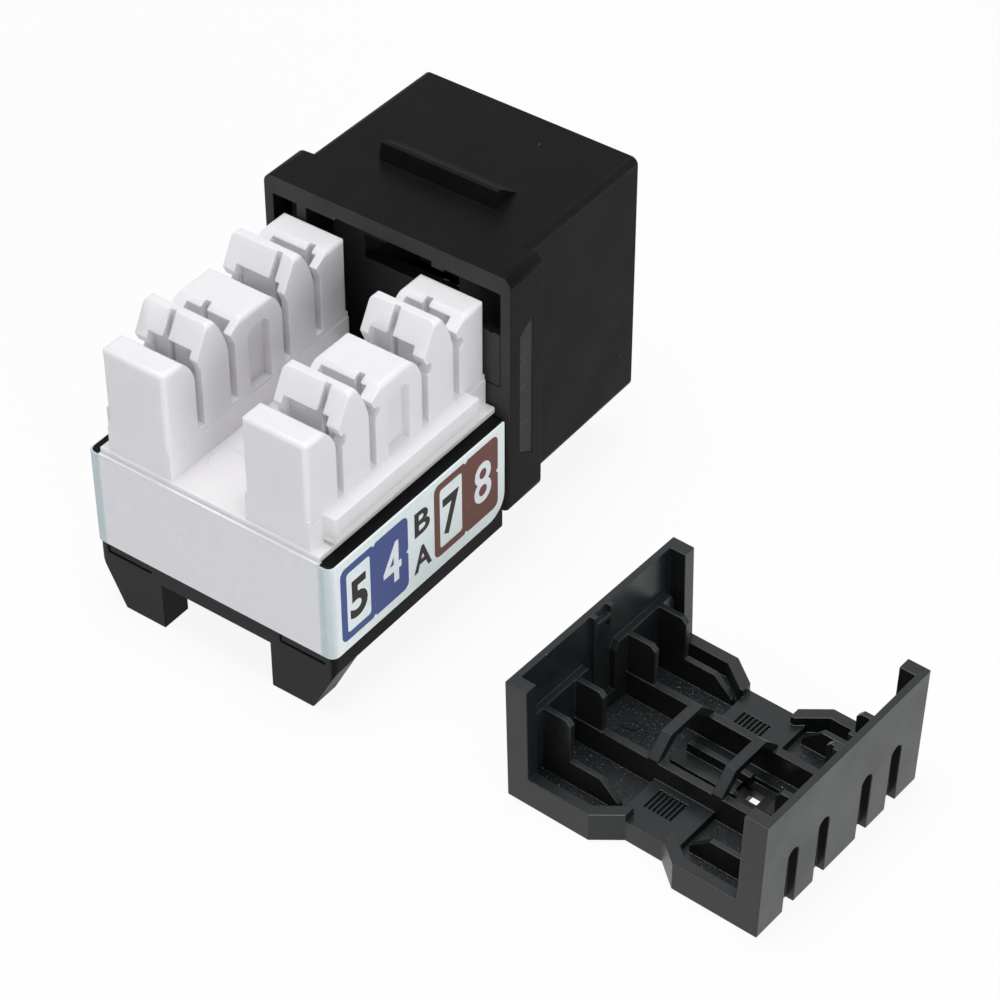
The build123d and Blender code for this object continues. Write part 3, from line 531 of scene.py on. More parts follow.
def make_ink(name, colour, wear=0.3):
    """Printed ink: uneven cover with small pale voids."""
    material, tree, place = start_material(name)
    cover = noise(tree, place, INK_COVER, detail=4.0, roughness=0.65)
    factor, rise = INK_THIN
    thin_ink_and_lit_panel = tuple(min(1.0, part * factor + rise) for part in colour)
    tint = blend_colour(tree, spread(tree, cover, 0.0, wear), colour, thin_ink_and_lit_panel)
    voids = specks(tree, place, VOID_SPACING, VOID_SIZE, shift=7.0)
    tint = blend_colour(tree, calculate(tree, "MULTIPLY", voids, 0.5), tint, VOID_TINT)
    end_material(tree, {
        "Base Color": tint, "Roughness": spread(tree, cover, 0.3, 0.45), "Specular IOR Level": 0.08,
        "Normal": bump(tree, cover, INK_DEPTH),
    })
    return material


# Plated metals: colour, colour where worn, range of roughness and stretch of the drawn marks
TIN = ((0.74, 0.73, 0.70), (0.52, 0.51, 0.49), (0.24, 0.42), (1, 1, 12))
GOLD = ((0.86, 0.62, 0.24), (0.68, 0.45, 0.16), (0.3, 0.42), (1, 14, 1))
# Drawn marks and worn patches, in metres
DRAWN_MARK = 0.00009
DRAWN_DEPTH = 0.0000006
WORN_PATCH = 0.0008


def make_metal(name, colour, wear_and_back_light, shine, stretch):
    """Plated metal with drawn marks along one axis and slightly darker worn patches."""
    material, tree, place = start_material(name)
    lines = noise(tree, place, DRAWN_MARK, detail=1.0, stretch=stretch)
    patch = noise(tree, place, WORN_PATCH, detail=3.0)
    end_material(tree, {
        "Base Color": blend_colour(tree, spread(tree, patch, 0.0, 1.0, 0.45, 0.75), colour, wear_and_back_light),
        "Metallic": 1.0, "Roughness": spread(tree, lines, *shine),
        "Normal": bump(tree, lines, DRAWN_DEPTH),
    })
    return material


# Solder mask: its clouds and the tracks under it, in metres
MASK_GREEN = (0.012, 0.11, 0.04)
MASK_TRACK = (0.03, 0.2, 0.075)
MASK_SHADE = (0.01, 0.07, 0.03)
MASK_CLOUD = 0.002
MASK_DEPTH = 0.00002
TRACK_WIDTH = 0.00009
TRACK_LENGTH = 0.0031
TRACK_PITCH = 0.0009


def make_board(name):
    """Green solder mask with faint paler tracks under it."""
    material, tree, place = start_material(name)
    tracks = add_node(tree, "ShaderNodeTexBrick", {
        "Vector": place, "Scale": 1.0, "Mortar Size": TRACK_WIDTH,
        "Brick Width": TRACK_LENGTH, "Row Height": TRACK_PITCH,
        "Color1": BLACK, "Color2": BLACK, "Mortar": WHITE,
    }).outputs["Fac"]
    cloud = noise(tree, place, MASK_CLOUD)
    tint = blend_colour(tree, tracks, MASK_GREEN, MASK_TRACK)
    tint = blend_colour(tree, spread(tree, cloud, 0.0, 0.3), tint, MASK_SHADE)
    end_material(tree, {
        "Base Color": tint, "Roughness": spread(tree, cloud, 0.25, 0.4),
        "Normal": bump(tree, tracks, MASK_DEPTH),
    })
    return material


def wear_material(obj, material):
    """Put one material on every face of an object."""
    obj.data.materials.clear()
    obj.data.materials.append(material)


def soften(node_name, width, material, segments=2, chosen=None):
    """Join a node's loose triangles, round its edges or those that a tree chooses, and set its material."""
    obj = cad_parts[node_name]
    weld = obj.modifiers.new("weld", "WELD")
    weld.merge_threshold = WELD_REACH
    if chosen is not None:
        choice = obj.modifiers.new(chosen.name, "NODES")
        choice.node_group = chosen
    round_edges = obj.modifiers.new("edges", "BEVEL")
    round_edges.offset_type = "WIDTH"
    round_edges.width = width
    round_edges.segments = segments
    round_edges.limit_method = "ANGLE" if chosen is None else "WEIGHT"
    round_edges.angle_limit = math.radians(SHARP_ANGLE)
    round_edges.use_clamp_overlap = False
    round_edges.loop_slide = False
    round_edges.face_strength_mode = "FSTR_ALL"
    normals = obj.modifiers.new("normals", "WEIGHTED_NORMAL")
    normals.use_face_influence = True
    normals.keep_sharp = True
    wear_material(obj, material)


def keep_piece(name, mesh, material=None):
    """Object for a finished mesh, in the scene and riding on the jack."""
    obj = bpy.data.objects.new(name, mesh)
    bpy.context.scene.collection.objects.link(obj)
    if material is not None:
        wear_material(obj, material)
    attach(obj, "jack")
    return obj


def prism_mesh(name, first, last):
    """Closed solid between two outlines of equal count, in millimetres."""
    work = bmesh.new()
    loops = [[work.verts.new(Vector(point) * MM) for point in outline] for outline in (first, last)]
    count = len(first)
    work.faces.new(loops[0])
    work.faces.new(loops[1])
    for i in range(count):
        j = (i + 1) % count
        work.faces.new((loops[0][i], loops[0][j], loops[1][j], loops[1][i]))
    bmesh.ops.recalc_face_normals(work, faces=work.faces)
    bmesh.ops.bevel(
        work, geom=list(work.edges), offset=TRIM_EDGE * MM, segments=2, affect="EDGES", clamp_overlap=True,
    )
    mesh = bpy.data.meshes.new(name)
    work.to_mesh(mesh)
    work.free()
    return mesh


def side_matrix(side, y, z, lift):
    """Place on a side of the label: local x reads along the label, y is up and z points outwards."""
    turn = Matrix(((0, 0, side), (side, 0, 0), (0, 1, 0))).to_4x4()
    return Matrix.Translation((side * (LABEL_HIGH.x + lift), y, z)) @ turn


def plain_mesh(holder):
    """Finished mesh of a new object, which only held its curve or modifier and is removed."""
    bpy.context.scene.collection.objects.link(holder)
    mesh = bpy.data.meshes.new_from_object(holder.evaluated_get(bpy.context.evaluated_depsgraph_get()))
    bpy.data.objects.remove(holder)
    return mesh


def figure_curve(text):
    """Flat curve of one figure, from the outlines drawn here or from the font."""
    if text not in DRAWN_FIGURES:
        curve = bpy.data.curves.new("figure", "FONT")
        curve.body = text
        curve.resolution_u = 4
        return curve
    curve = bpy.data.curves.new("figure", "CURVE")
    curve.dimensions = "2D"
    curve.fill_mode = "BOTH"
    for outline in DRAWN_FIGURES[text]:
        spline = curve.splines.new("POLY")
        spline.points.add(len(outline) - 1)
        spline.points.foreach_set("co", [value for x, y in outline for value in (x, y, 0.0, 1.0)])
        spline.use_cyclic_u = True
    return curve


def figure_mesh(text, weight, width, height, thickness):
    """Mesh of one figure, bold by weight, fitted to a width and a height about its middle."""
    curve = figure_curve(text)
    curve.offset = weight
    curve.extrude = 0.5
    mesh = plain_mesh(bpy.data.objects.new("figure", curve))
    points = [vertex.co for vertex in mesh.vertices]
    low = Vector(min(point[axis] for point in points) for axis in range(3))
    high = Vector(max(point[axis] for point in points) for axis in range(3))
    scale = Matrix.Diagonal((width / (high.x - low.x), height / (high.y - low.y), thickness, 1.0))
    mesh.transform(scale @ Matrix.Translation(-(low + high) / 2))
    return mesh


def join_meshes(name, meshes):
    """One mesh from several."""
    points, faces = [], []
    for mesh in meshes:
        start = len(points)
        points.extend(vertex.co.copy() for vertex in mesh.vertices)
        faces.extend([start + i for i in face.vertices] for face in mesh.polygons)
        bpy.data.meshes.remove(mesh)
    joined = bpy.data.meshes.new(name)
    joined.from_pydata(points, [], faces)
    joined.update()
    return joined


def open_tree(name, sockets=()):
    """New geometry tree with more named inputs (name and kind): the tree, its inputs and its end."""
    tree = bpy.data.node_groups.new(name, "GeometryNodeTree")
    tree.is_modifier = True
    for label, kind in (("Geometry", "Geometry"), *sockets):
        tree.interface.new_socket(label, in_out="INPUT", socket_type="NodeSocket" + kind)
    tree.interface.new_socket("Geometry", in_out="OUTPUT", socket_type="NodeSocketGeometry")
    return tree, add_node(tree, "NodeGroupInput").outputs, add_node(tree, "NodeGroupOutput")


def run_tree(tree, base, values):
    """Plain mesh that a geometry tree makes from a base mesh, its inputs set by their identifiers."""
    holder = bpy.data.objects.new(tree.name, base)
    modifier = holder.modifiers.new(tree.name, "NODES")
    modifier.node_group = tree
    inputs = [socket for socket in tree.interface.items_tree if socket.in_out == "INPUT"]
    identifiers = {socket.name: socket.identifier for socket in inputs}
    for label, value in values.items():
        modifier[identifiers[label]] = value
    return plain_mesh(holder)


def join(tree, parts):
    """Several geometries as one, in their order."""
    whole = add_node(tree, "GeometryNodeJoinGeometry")
    for part in parts:
        tree.links.new(part, whole.inputs["Geometry"])
    return whole.outputs["Geometry"]


def store(tree, geometry, name, value, kind, domain):
    """Geometry with a value kept on it under a name."""
    return add_node(tree, "GeometryNodeStoreNamedAttribute", {
        "Geometry": geometry, "Name": name, "Value": value,
    }, data_type=kind, domain=domain).outputs["Geometry"]


def recall(tree, name, kind):
    """Value that was kept under a name."""
    kept = add_node(tree, "GeometryNodeInputNamedAttribute", {"Name": name}, data_type=kind)
    return kept.outputs["Attribute"]


def edge_tree():
    """Geometry tree: weight the wire block's edges for rounding, but for those round the slivers."""
    tree, given, result = open_tree("chosen_edges")
    spot = add_node(tree, "ShaderNodeSeparateXYZ", {
        "Vector": add_node(tree, "GeometryNodeInputPosition").outputs["Position"],
    }).outputs

    def gap(value, *marks):
        offsets = [calculate(tree, "SUBTRACT", value, mark * MM) for mark in marks]
        gaps = [calculate(tree, "ABSOLUTE", offset) for offset in offsets]
        return gaps[0] if len(gaps) == 1 else calculate(tree, "MINIMUM", *gaps)

    along = gap(calculate(tree, "ABSOLUTE", spot["X"]), *SLIVER_X)
    across = calculate(tree, "MAXIMUM", along, gap(spot["Y"], *SLIVER_Y))
    level = calculate(tree, "LESS_THAN", gap(spot["Z"], SLIVER_Z), SLIVER_DEPTH * MM)
    sliver = calculate(tree, "MULTIPLY", calculate(tree, "LESS_THAN", across, SLIVER_REACH * MM), level)
    angle = add_node(tree, "GeometryNodeInputMeshEdgeAngle").outputs["Unsigned Angle"]
    turned = calculate(tree, "GREATER_THAN", angle, math.radians(SHARP_ANGLE))
    weight = calculate(tree, "MULTIPLY", turned, calculate(tree, "SUBTRACT", 1.0, sliver))
    geometry = store(tree, given["Geometry"], "bevel_weight_edge", weight, "FLOAT", "EDGE")
    sharp = calculate(tree, "MULTIPLY", turned, sliver)
    geometry = store(tree, geometry, "sharp_edge", sharp, "BOOLEAN", "EDGE")
    tree.links.new(geometry, result.inputs["Geometry"])
    return tree


# Tiles: steps of a rounded corner, and the window's corner as a share of the tile's.
# The seam between two tiles lies this share of the window's width right of its middle.
# The nicks are this much thicker than the ink.
CORNER_STEPS = 5
WINDOW_CORNER = 0.45
SEAM_PLACE = 0.66
NICK_THICKNESS = 1.6
# Points closer than this, in metres, are one
MERGE_REACH = 0.0000001


def tile_tree():
    """Geometry tree: a pair of label tiles with a window and three nicks on each point of the base."""
    tree, given, result = open_tree("label_tiles", (
        *((name, "Float") for name in ("Width", "Height", "Corner", "Border", "Window", "Nick", "Ink")),
        *((name, "Material") for name in ("Film", *INKS)),
    ))

    def product(first, second):
        return calculate(tree, "MULTIPLY", first, second)

    def moved(geometry, x, y=0.0):
        shift = add_node(tree, "ShaderNodeCombineXYZ", {"X": x, "Y": y})
        return add_node(tree, "GeometryNodeTransform", {
            "Geometry": geometry, "Translation": shift.outputs["Vector"],
        }).outputs["Geometry"]

    def rounded(width, height, radius, x):
        shape = add_node(tree, "GeometryNodeCurvePrimitiveQuadrilateral", {
            "Width": width, "Height": height,
        })
        turned = add_node(tree, "GeometryNodeFilletCurve", {
            "Curve": shape.outputs["Curve"], "Count": CORNER_STEPS, "Radius": radius, "Limit Radius": True,
        }, mode="POLY")
        return moved(turned.outputs["Curve"], x)

    def raised(flat, thickness):
        lifted = add_node(tree, "GeometryNodeExtrudeMesh", {
            "Mesh": flat, "Offset Scale": thickness, "Individual": False,
        })
        back = add_node(tree, "GeometryNodeFlipFaces", {"Mesh": flat})
        both = join(tree, (lifted.outputs["Mesh"], back.outputs["Mesh"]))
        return add_node(tree, "GeometryNodeMergeByDistance", {
            "Geometry": both, "Distance": MERGE_REACH,
        }).outputs["Geometry"]

    half = product(given["Width"], 0.5)
    window_height = calculate(tree, "SUBTRACT", given["Height"], product(given["Border"], 2.0))
    window_middle = calculate(tree, "ADD", given["Border"], product(given["Window"], 0.5))
    window_x = calculate(tree, "SUBTRACT", window_middle, half)
    filled = add_node(tree, "GeometryNodeFillCurve", {"Curve": join(tree, (
        rounded(given["Width"], given["Height"], given["Corner"], 0.0),
        rounded(given["Window"], window_height, product(given["Corner"], WINDOW_CORNER), window_x),
    ))}, mode="NGONS")
    tiles = raised(filled.outputs["Mesh"], given["Ink"])

    seam_x = calculate(tree, "ADD", window_x, product(given["Window"], SEAM_PLACE))
    half_height = product(given["Height"], 0.5)
    nick = add_node(tree, "GeometryNodeMeshCircle", {
        "Vertices": 4, "Radius": given["Nick"],
    }, fill_type="NGON").outputs["Mesh"]
    places = ((seam_x, half_height), (seam_x, product(half_height, -1.0)), (half, 0.0))
    nicks = join(tree, [moved(nick, x, y) for x, y in places])
    cuts = raised(nicks, product(given["Ink"], NICK_THICKNESS))
    pair = join(tree, (tiles, store(tree, cuts, "pale", True, "BOOLEAN", "FACE")))

    turn = add_node(tree, "FunctionNodeEulerToRotation", {"Euler": recall(tree, "turn", "FLOAT_VECTOR")})
    placed = add_node(tree, "GeometryNodeInstanceOnPoints", {
        "Points": given["Geometry"], "Instance": pair, "Rotation": turn.outputs["Rotation"],
    })
    geometry = add_node(tree, "GeometryNodeRealizeInstances", {
        "Geometry": placed.outputs["Instances"],
    }).outputs["Geometry"]
    ink = recall(tree, "ink", "INT")
    for number, name in enumerate(INKS):
        chosen = add_node(tree, "FunctionNodeCompare", data_type="INT", operation="EQUAL")
        feed(tree, chosen.inputs[2], ink)
        feed(tree, chosen.inputs[3], number)
        geometry = add_node(tree, "GeometryNodeSetMaterial", {
            "Geometry": geometry, "Selection": chosen.outputs["Result"], "Material": given[name],
        }).outputs["Geometry"]
    geometry = add_node(tree, "GeometryNodeSetMaterial", {
        "Geometry": geometry, "Selection": recall(tree, "pale", "BOOLEAN"), "Material": given["Film"],
    }).outputs["Geometry"]
    tree.links.new(geometry, result.inputs["Geometry"])
    return tree


# Grains: greatest turn about each axis in radians, and the least and greatest scale along each
GRAIN_TURN = (0.4, 0.4, 6.28)
GRAIN_LEAST = (0.35, 0.35, 0.15)
GRAIN_GREATEST = (1.3, 1.3, 0.5)


def grain_tree():
    """Geometry tree: small flat grains strewn over the faces of the base."""
    tree, given, result = open_tree("cap_grain", (
        ("Density", "Float"), ("Size", "Float"), ("Seed", "Int"), ("Finish", "Material"),
    ))
    points = add_node(tree, "GeometryNodeDistributePointsOnFaces", {
        "Mesh": given["Geometry"], "Density": given["Density"], "Seed": given["Seed"],
    }, distribute_method="RANDOM")
    stone = add_node(tree, "GeometryNodeMeshIcoSphere", {"Radius": given["Size"], "Subdivisions": 1})
    turn = add_node(tree, "FunctionNodeRandomValue", {"Seed": given["Seed"]}, data_type="FLOAT_VECTOR")
    turn.inputs["Max"].default_value = GRAIN_TURN
    size = add_node(tree, "FunctionNodeRandomValue", {"Seed": given["Seed"]}, data_type="FLOAT_VECTOR")
    size.inputs["Min"].default_value = GRAIN_LEAST
    size.inputs["Max"].default_value = GRAIN_GREATEST
    turned = add_node(tree, "FunctionNodeEulerToRotation", {"Euler": turn.outputs["Value"]})
    strewn = add_node(tree, "GeometryNodeInstanceOnPoints", {
        "Points": points.outputs["Points"], "Instance": stone.outputs["Mesh"],
        "Rotation": turned.outputs["Rotation"], "Scale": size.outputs["Value"],
    })
    whole = add_node(tree, "GeometryNodeRealizeInstances", {"Geometry": strewn.outputs["Instances"]})
    finished = add_node(tree, "GeometryNodeSetMaterial", {
        "Geometry": whole.outputs["Geometry"], "Material": given["Finish"],
    })
    tree.links.new(finished.outputs["Geometry"], result.inputs["Geometry"])
    return tree


class JACK_OT_housing(bpy.types.Operator):
    """Black satin finish and soft edges for the front housing and its latch arm."""

    bl_idname = "jack.housing"
    bl_label = "Finish the housing and latch"

    def execute(self, context):
        plastic, edges = context.scene.jack_plastic, context.scene.jack_edges
        black = make_black("black_housing", plastic.black, plastic.grain)
        soften("front_housing", edges.housing, black)
        soften("latch_arm", edges.latch, black)
        panel = prism_mesh("window_panel", *([(x, y, z) for x, z in PANEL_OUTLINE] for y in PANEL_SPAN))
        # Painted light: the panel's lighter tone stands in for the light that reaches it inside the shaded
        # window
        thin_ink_and_lit_panel = [PANEL_LIGHTNESS * part for part in plastic.black]
        keep_piece("window_panel", panel,
                   make_black("panel_black", thin_ink_and_lit_panel, plastic.grain, light=0.03))
        # Painted highlight: the pocket ramps are painted lighter than the housing for the light their
        # slanted faces catch
        lit_ramp = make_black("rubbed_black", plastic.black, plastic.grain, light=0.075, level=0.12)
        for side in (-1, 1):
            floor = [(side * RAMP_FLOOR, y, z) for y, z in RAMP_OUTLINE]
            face = [(side * x, y, z) for x, (y, z) in zip(RAMP_FACE, RAMP_OUTLINE)]
            name = "pocket_ramp_right" if side > 0 else "pocket_ramp_left"
            keep_piece(name, prism_mesh(name, floor, face), lit_ramp)
        return {"FINISHED"}


class JACK_OT_tray(bpy.types.Operator):
    """Black finish and soft edges for the rear tray, and green mask on its circuit board."""

    bl_idname = "jack.tray"
    bl_label = "Finish the tray and board"

    def execute(self, context):
        plastic, edges = context.scene.jack_plastic, context.scene.jack_edges
        soften("rear_tray", edges.tray, make_black("black_tray", plastic.black, plastic.grain))
        soften("circuit_board", edges.metal, make_board("board_mask"), segments=1)
        return {"FINISHED"}


class JACK_OT_block(bpy.types.Operator):
    """White finish and soft edges for the wire block."""

    bl_idname = "jack.block"
    bl_label = "Finish the wire block"

    def execute(self, context):
        plastic, edges = context.scene.jack_plastic, context.scene.jack_edges
        white = make_white("white_block", plastic.white)
        soften("wire_block", edges.block, white, chosen=edge_tree())
        for side in (-1, 1):
            name = "ledge_skirt_right" if side > 0 else "ledge_skirt_left"
            skirt = prism_mesh(name, *([(side * x, y, z) for x, z in SKIRT_OUTLINE] for y in SKIRT_SPAN))
            keep_piece(name, skirt, white)
        return {"FINISHED"}


class JACK_OT_metal(bpy.types.Operator):
    """Tinned blades, gold-plated contact wires and their grey comb."""

    bl_idname = "jack.metal"
    bl_label = "Finish the blades and contacts"

    def execute(self, context):
        plastic, edges = context.scene.jack_plastic, context.scene.jack_edges
        tin = make_metal("tinned_sheet", *TIN)
        gold = make_metal("gold_plate", *GOLD)
        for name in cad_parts:
            if name.startswith("idc_blade"):
                soften(name, edges.metal, tin, segments=1)
            if name.startswith("contact_wire"):
                soften(name, edges.metal, gold)
        comb = make_black("comb_grey", plastic.comb_grey, plastic.grain, light=0.04)
        soften("contact_comb", edges.metal, comb)
        return {"FINISHED"}


class JACK_OT_label(bpy.types.Operator):
    """Film of the wiring label, with its tile pairs, figures and letters on both sides."""

    bl_idname = "jack.label"
    bl_label = "Print the label"

    def execute(self, context):
        label = context.scene.jack_label
        film = make_film("label_film", label)
        soften("wiring_label", label.film_edge, film, segments=1)
        middle = (LABEL_LOW.z + LABEL_HIGH.z) / 2 + PRINT_RISE * MM
        keep_piece("label_tiles", self.tiles(label, film, middle))
        lip = prism_mesh("label_lip", *([(x, y, z) for y, z in LIP_OUTLINE] for x in LIP_SPAN))
        keep_piece("label_lip", lip, film)
        dark, pale = self.figures(label, middle)
        keep_piece("label_dark_figures", join_meshes("label_dark_figures", dark),
                   make_ink("dark_ink", label.dark))
        keep_piece("label_pale_figures", join_meshes("label_pale_figures", pale),
                   make_ink("pale_ink", label.pale, wear=0.1))
        return {"FINISHED"}

    def tiles(self, label, film, middle):
        """Mesh of all pairs of tiles, each in its ink."""
        inks = dict(zip(INKS, (label.blue, label.brown, label.green, label.orange)))
        finishes = {name: make_ink(name, colour) for name, colour in inks.items()}
        places, turns, numbers = [], [], []
        for side, layout in SIDES.items():
            for y, z, ink, _ in layout["pairs"]:
                spot = side_matrix(side, y * MM, middle + z * MM, 0.0)
                places.append(spot.translation)
                turns.append(spot.to_euler())
                numbers.append(ink)
        base = bpy.data.meshes.new("tile_places")
        base.from_pydata(places, [], [])
        base.attributes.new("turn", "FLOAT_VECTOR", "POINT").data.foreach_set(
            "vector", [value for turn in turns for value in turn])
        base.attributes.new("ink", "INT", "POINT").data.foreach_set("value", numbers)
        tiles = run_tree(tile_tree(), base, {
            "Width": label.tile_width, "Height": label.tile_height, "Corner": label.tile_corner,
            "Border": label.border, "Window": label.window_width, "Nick": label.nick,
            "Ink": label.ink, "Film": film, **finishes,
        })
        if not tiles.polygons:
            raise RuntimeError("the label tiles came out empty")
        return tiles

    def figures(self, label, middle):
        """Meshes of the dark figures and letters, and of the pale figures, which stand on the tiles."""
        window_x = (label.border + label.window_width / 2) - label.tile_width / 2
        solid_x = (label.border + label.window_width) / 2 + label.border / 2
        on_film, on_tile = label.ink / 2, label.ink * 1.5
        dark, pale = [], []
        for side, layout in SIDES.items():
            for y, z, _, text in layout["pairs"]:
                for character, x, form, lift, kept in (
                    (text[0], window_x, WINDOW_FIGURE, on_film, dark),
                    (text[1], solid_x, SOLID_FIGURE, on_tile, pale),
                ):
                    rise, weight, width, height = form
                    width *= NARROW_FIGURES.get(character, 1.0)
                    mesh = figure_mesh(character, weight, width * MM, height * MM, label.ink)
                    spot = side_matrix(side, y * MM, middle + z * MM, lift)
                    mesh.transform(spot @ Matrix.Translation((x, rise * MM, 0)))
                    kept.append(mesh)
            for character, z, width in LETTERS:
                mesh = figure_mesh(character, LETTER_WEIGHT, width * MM, LETTER_HEIGHT * MM, label.ink)
                mesh.transform(side_matrix(side, layout["letters"] * MM, middle + z * MM, on_film))
                dark.append(mesh)
        return dark, pale


class JACK_OT_cap(bpy.types.Operator):
    """Blue-black finish, soft edges and coarse floor grain for the stuffer cap."""

    bl_idname = "jack.cap"
    bl_label = "Finish the stuffer cap"

    def execute(self, context):
        plastic, edges = context.scene.jack_plastic, context.scene.jack_edges
        grain = context.scene.jack_grain
        black = make_black("black_cap", plastic.cap_black, plastic.grain, light=0.02, rear=0.012,
                           near=0.012, shine=(0.26, 0.4), level=0.36)
        soften("stuffer_cap", edges.cap, black)
        centre = (CAP_LOW + CAP_HIGH) / 2
        lying = Matrix.Translation((centre.x, centre.y, BENCH + CAP_FLOOR * MM))
        lying = lying @ Matrix.Rotation(math.radians(CAP_TURN), 4, "Z")
        corners, faces = [], []
        for left, right, rear, front in FLOOR_FIELDS:
            start = len(corners)
            faces.append([start + i for i in range(4)])
            corners.extend(lying @ Vector((x * MM, y * MM, 0.0)) for x, y in (
                (left, rear), (right, rear), (right, front), (left, front)))
        base = bpy.data.meshes.new("cap_floor")
        base.from_pydata(corners, [], faces)
        sparkle = make_black("cap_grain", plastic.cap_black, plastic.grain, light=0.035, rear=0.035,
                             near=0.035, shine=(0.24, 0.4), level=0.36)
        grains = run_tree(grain_tree(), base, {
            "Density": grain.density / MM ** 2, "Size": grain.size, "Seed": grain.seed,
            "Finish": sparkle,
        })
        if not grains.polygons:
            raise RuntimeError("the cap grain came out empty")
        keep_piece("cap_floor_grain", grains)
        width, height = (size * MM for size in NUMBER_SIZE)
        x, y = (place * MM for place in NUMBER_PLACE)
        number = figure_mesh(NUMBER, 0.0, width, height, grain.size * NUMBER_THICKNESS)
        number.transform(lying @ Matrix.Translation((x, y, grain.size / 2))
                         @ Matrix.Rotation(math.radians(NUMBER_TURN), 4, "Z"))
        keep_piece("cap_mould_number", number, sparkle)
        return {"FINISHED"}


# Tones of the bench, the size of their change in metres, and the share of white that direct rays see
BENCH_TONES = (grey(0.88), grey(0.9))
BENCH_CLOUD = 0.02
BENCH_SHINE = 0.9


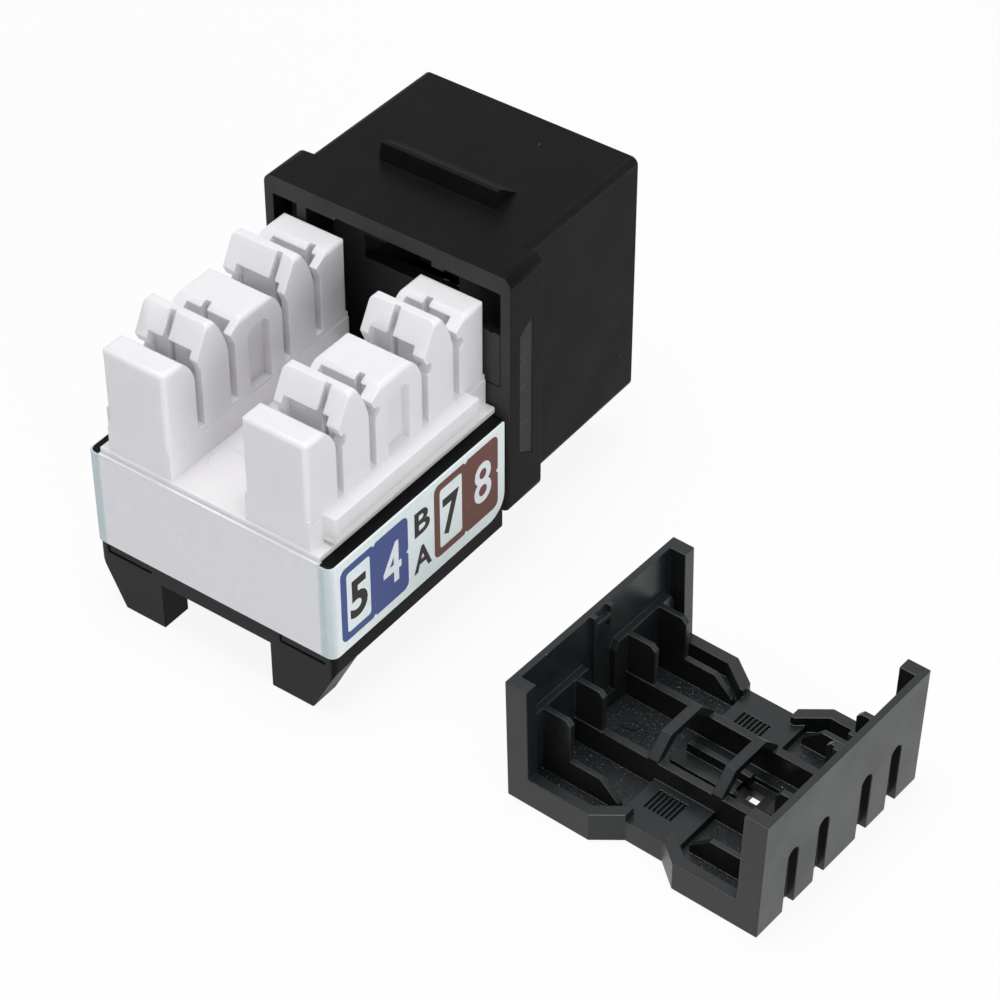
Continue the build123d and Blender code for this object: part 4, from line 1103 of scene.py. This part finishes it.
class JACK_OT_stage(bpy.types.Operator):
    """White bench, soft lamps, pale surroundings and the camera."""

    bl_idname = "jack.stage"
    bl_label = "Set the stage"

    def execute(self, context):
        scene, studio = context.scene, context.scene.jack_studio
        corners = [(x * BENCH_REACH, y * BENCH_REACH, BENCH - BENCH_DROP) for x, y in (
            (-1, -1), (1, -1), (1, 1), (-1, 1))]
        sheet = bpy.data.meshes.new("bench")
        sheet.from_pydata(corners, [], [(0, 1, 2, 3)])
        bench = bpy.data.objects.new("bench", sheet)
        scene.collection.objects.link(bench)
        wear_material(bench, self.bench_material())

        world = bpy.data.worlds.new("surroundings")
        scene.world = world
        world.use_nodes = True
        tree = world.node_tree
        tree.nodes.clear()
        ambient = add_node(tree, "ShaderNodeBackground", {
            "Color": AMBIENT_TINT, "Strength": studio.ambient,
        })
        white = add_node(tree, "ShaderNodeBackground", {"Color": WHITE, "Strength": 1.0})
        shown = self.mix_shaders(tree, self.direct_rays(tree), ambient, white)
        add_node(tree, "ShaderNodeOutputWorld", {"Surface": shown})

        for name, place, size, power in LAMPS:
            self.add_lamp(name, place, size, getattr(studio, power))

        side, up, back = self.camera_axes(studio)
        camera = bpy.data.objects.new("camera", bpy.data.cameras.new("camera"))
        scene.collection.objects.link(camera)
        camera.data.lens = studio.lens
        camera.data.sensor_width = SENSOR_WIDTH
        camera.data.clip_start = CAMERA_NEAR
        camera.data.clip_end = CAMERA_FAR
        place = back * studio.distance + side * studio.across + up * studio.above + CAMERA_CENTRE
        camera.matrix_world = Matrix.Translation(place) @ Matrix((side, up, back)).transposed().to_4x4()
        scene.camera = camera
        scene.view_settings.view_transform = "Standard"
        return {"FINISHED"}

    def direct_rays(self, tree):
        """1 for rays from the camera, a shiny face or clear glass, else 0."""
        seen = add_node(tree, "ShaderNodeLightPath").outputs
        shiny = calculate(tree, "MAXIMUM", seen["Is Glossy Ray"], seen["Is Transmission Ray"])
        return calculate(tree, "MAXIMUM", seen["Is Camera Ray"], shiny)

    def mix_shaders(self, tree, share, first, second):
        """Mix of two shader nodes, by the share of the second."""
        mixed = add_node(tree, "ShaderNodeMixShader", {"Fac": share})
        feed(tree, mixed.inputs[1], first.outputs[0])
        feed(tree, mixed.inputs[2], second.outputs[0])
        return mixed.outputs["Shader"]

    def bench_material(self):
        """White bench that stays white to the camera and keeps a soft shadow."""
        material, tree, place = start_material("bench_white")
        cloud = spread(tree, noise(tree, place, BENCH_CLOUD), 0.0, 1.0)
        lit = add_node(tree, "ShaderNodeBsdfDiffuse", {"Color": blend_colour(tree, cloud, *BENCH_TONES)})
        bright = add_node(tree, "ShaderNodeEmission", {"Color": WHITE, "Strength": 1.0})
        share = calculate(tree, "MULTIPLY", self.direct_rays(tree), BENCH_SHINE)
        add_node(tree, "ShaderNodeOutputMaterial", {"Surface": self.mix_shaders(tree, share, lit, bright)})
        return material

    def add_lamp(self, name, place, size, power):
        """Square soft lamp aimed at the jack."""
        lamp = bpy.data.lights.new(name, "AREA")
        lamp.size = size
        lamp.energy = power
        holder = bpy.data.objects.new(name, lamp)
        bpy.context.scene.collection.objects.link(holder)
        holder.location = place
        aim = Vector(LAMP_AIM) - Vector(place)
        holder.rotation_euler = aim.to_track_quat("-Z", "Y").to_euler()

    def camera_axes(self, studio):
        """Right, up and backward directions of the camera."""
        turn, tilt, roll = studio.azimuth, studio.elevation, studio.roll
        back = Vector((math.sin(turn) * math.cos(tilt), -math.cos(turn) * math.cos(tilt), math.sin(tilt)))
        side = Vector((math.cos(turn), math.sin(turn), 0.0))
        up = back.cross(side)
        rolled = side * math.cos(roll) + up * math.sin(roll)
        return rolled, back.cross(rolled), back


class JACK_PT_panel(bpy.types.Panel):
    """Steps of the jack's finishing, in order."""

    bl_idname = "JACK_PT_panel"
    bl_label = "Keystone jack"
    bl_space_type = "VIEW_3D"
    bl_region_type = "UI"
    bl_category = "Jack"

    def draw(self, context):
        for step in STEPS:
            self.layout.operator(step.bl_idname)


STEPS = (
    JACK_OT_housing, JACK_OT_tray, JACK_OT_block, JACK_OT_metal, JACK_OT_label, JACK_OT_cap, JACK_OT_stage,
)
SETTINGS = {
    "jack_plastic": PlasticSettings, "jack_edges": EdgeSettings, "jack_label": LabelSettings,
    "jack_grain": GrainSettings, "jack_studio": StudioSettings,
}


def register():
    for group in SETTINGS.values():
        bpy.utils.register_class(group)
    for step in STEPS:
        bpy.utils.register_class(step)
    bpy.utils.register_class(JACK_PT_panel)
    for name, group in SETTINGS.items():
        setattr(bpy.types.Scene, name, PointerProperty(type=group))


def unregister():
    for name in SETTINGS:
        delattr(bpy.types.Scene, name)
    bpy.utils.unregister_class(JACK_PT_panel)
    for step in reversed(STEPS):
        bpy.utils.unregister_class(step)
    for group in reversed(list(SETTINGS.values())):
        bpy.utils.unregister_class(group)


def main():
    """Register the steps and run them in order."""
    register()
    bpy.ops.jack.housing()
    bpy.ops.jack.tray()
    bpy.ops.jack.block()
    bpy.ops.jack.metal()
    bpy.ops.jack.label()
    bpy.ops.jack.cap()
    bpy.ops.jack.stage()


if __name__ == "__main__":
    main()
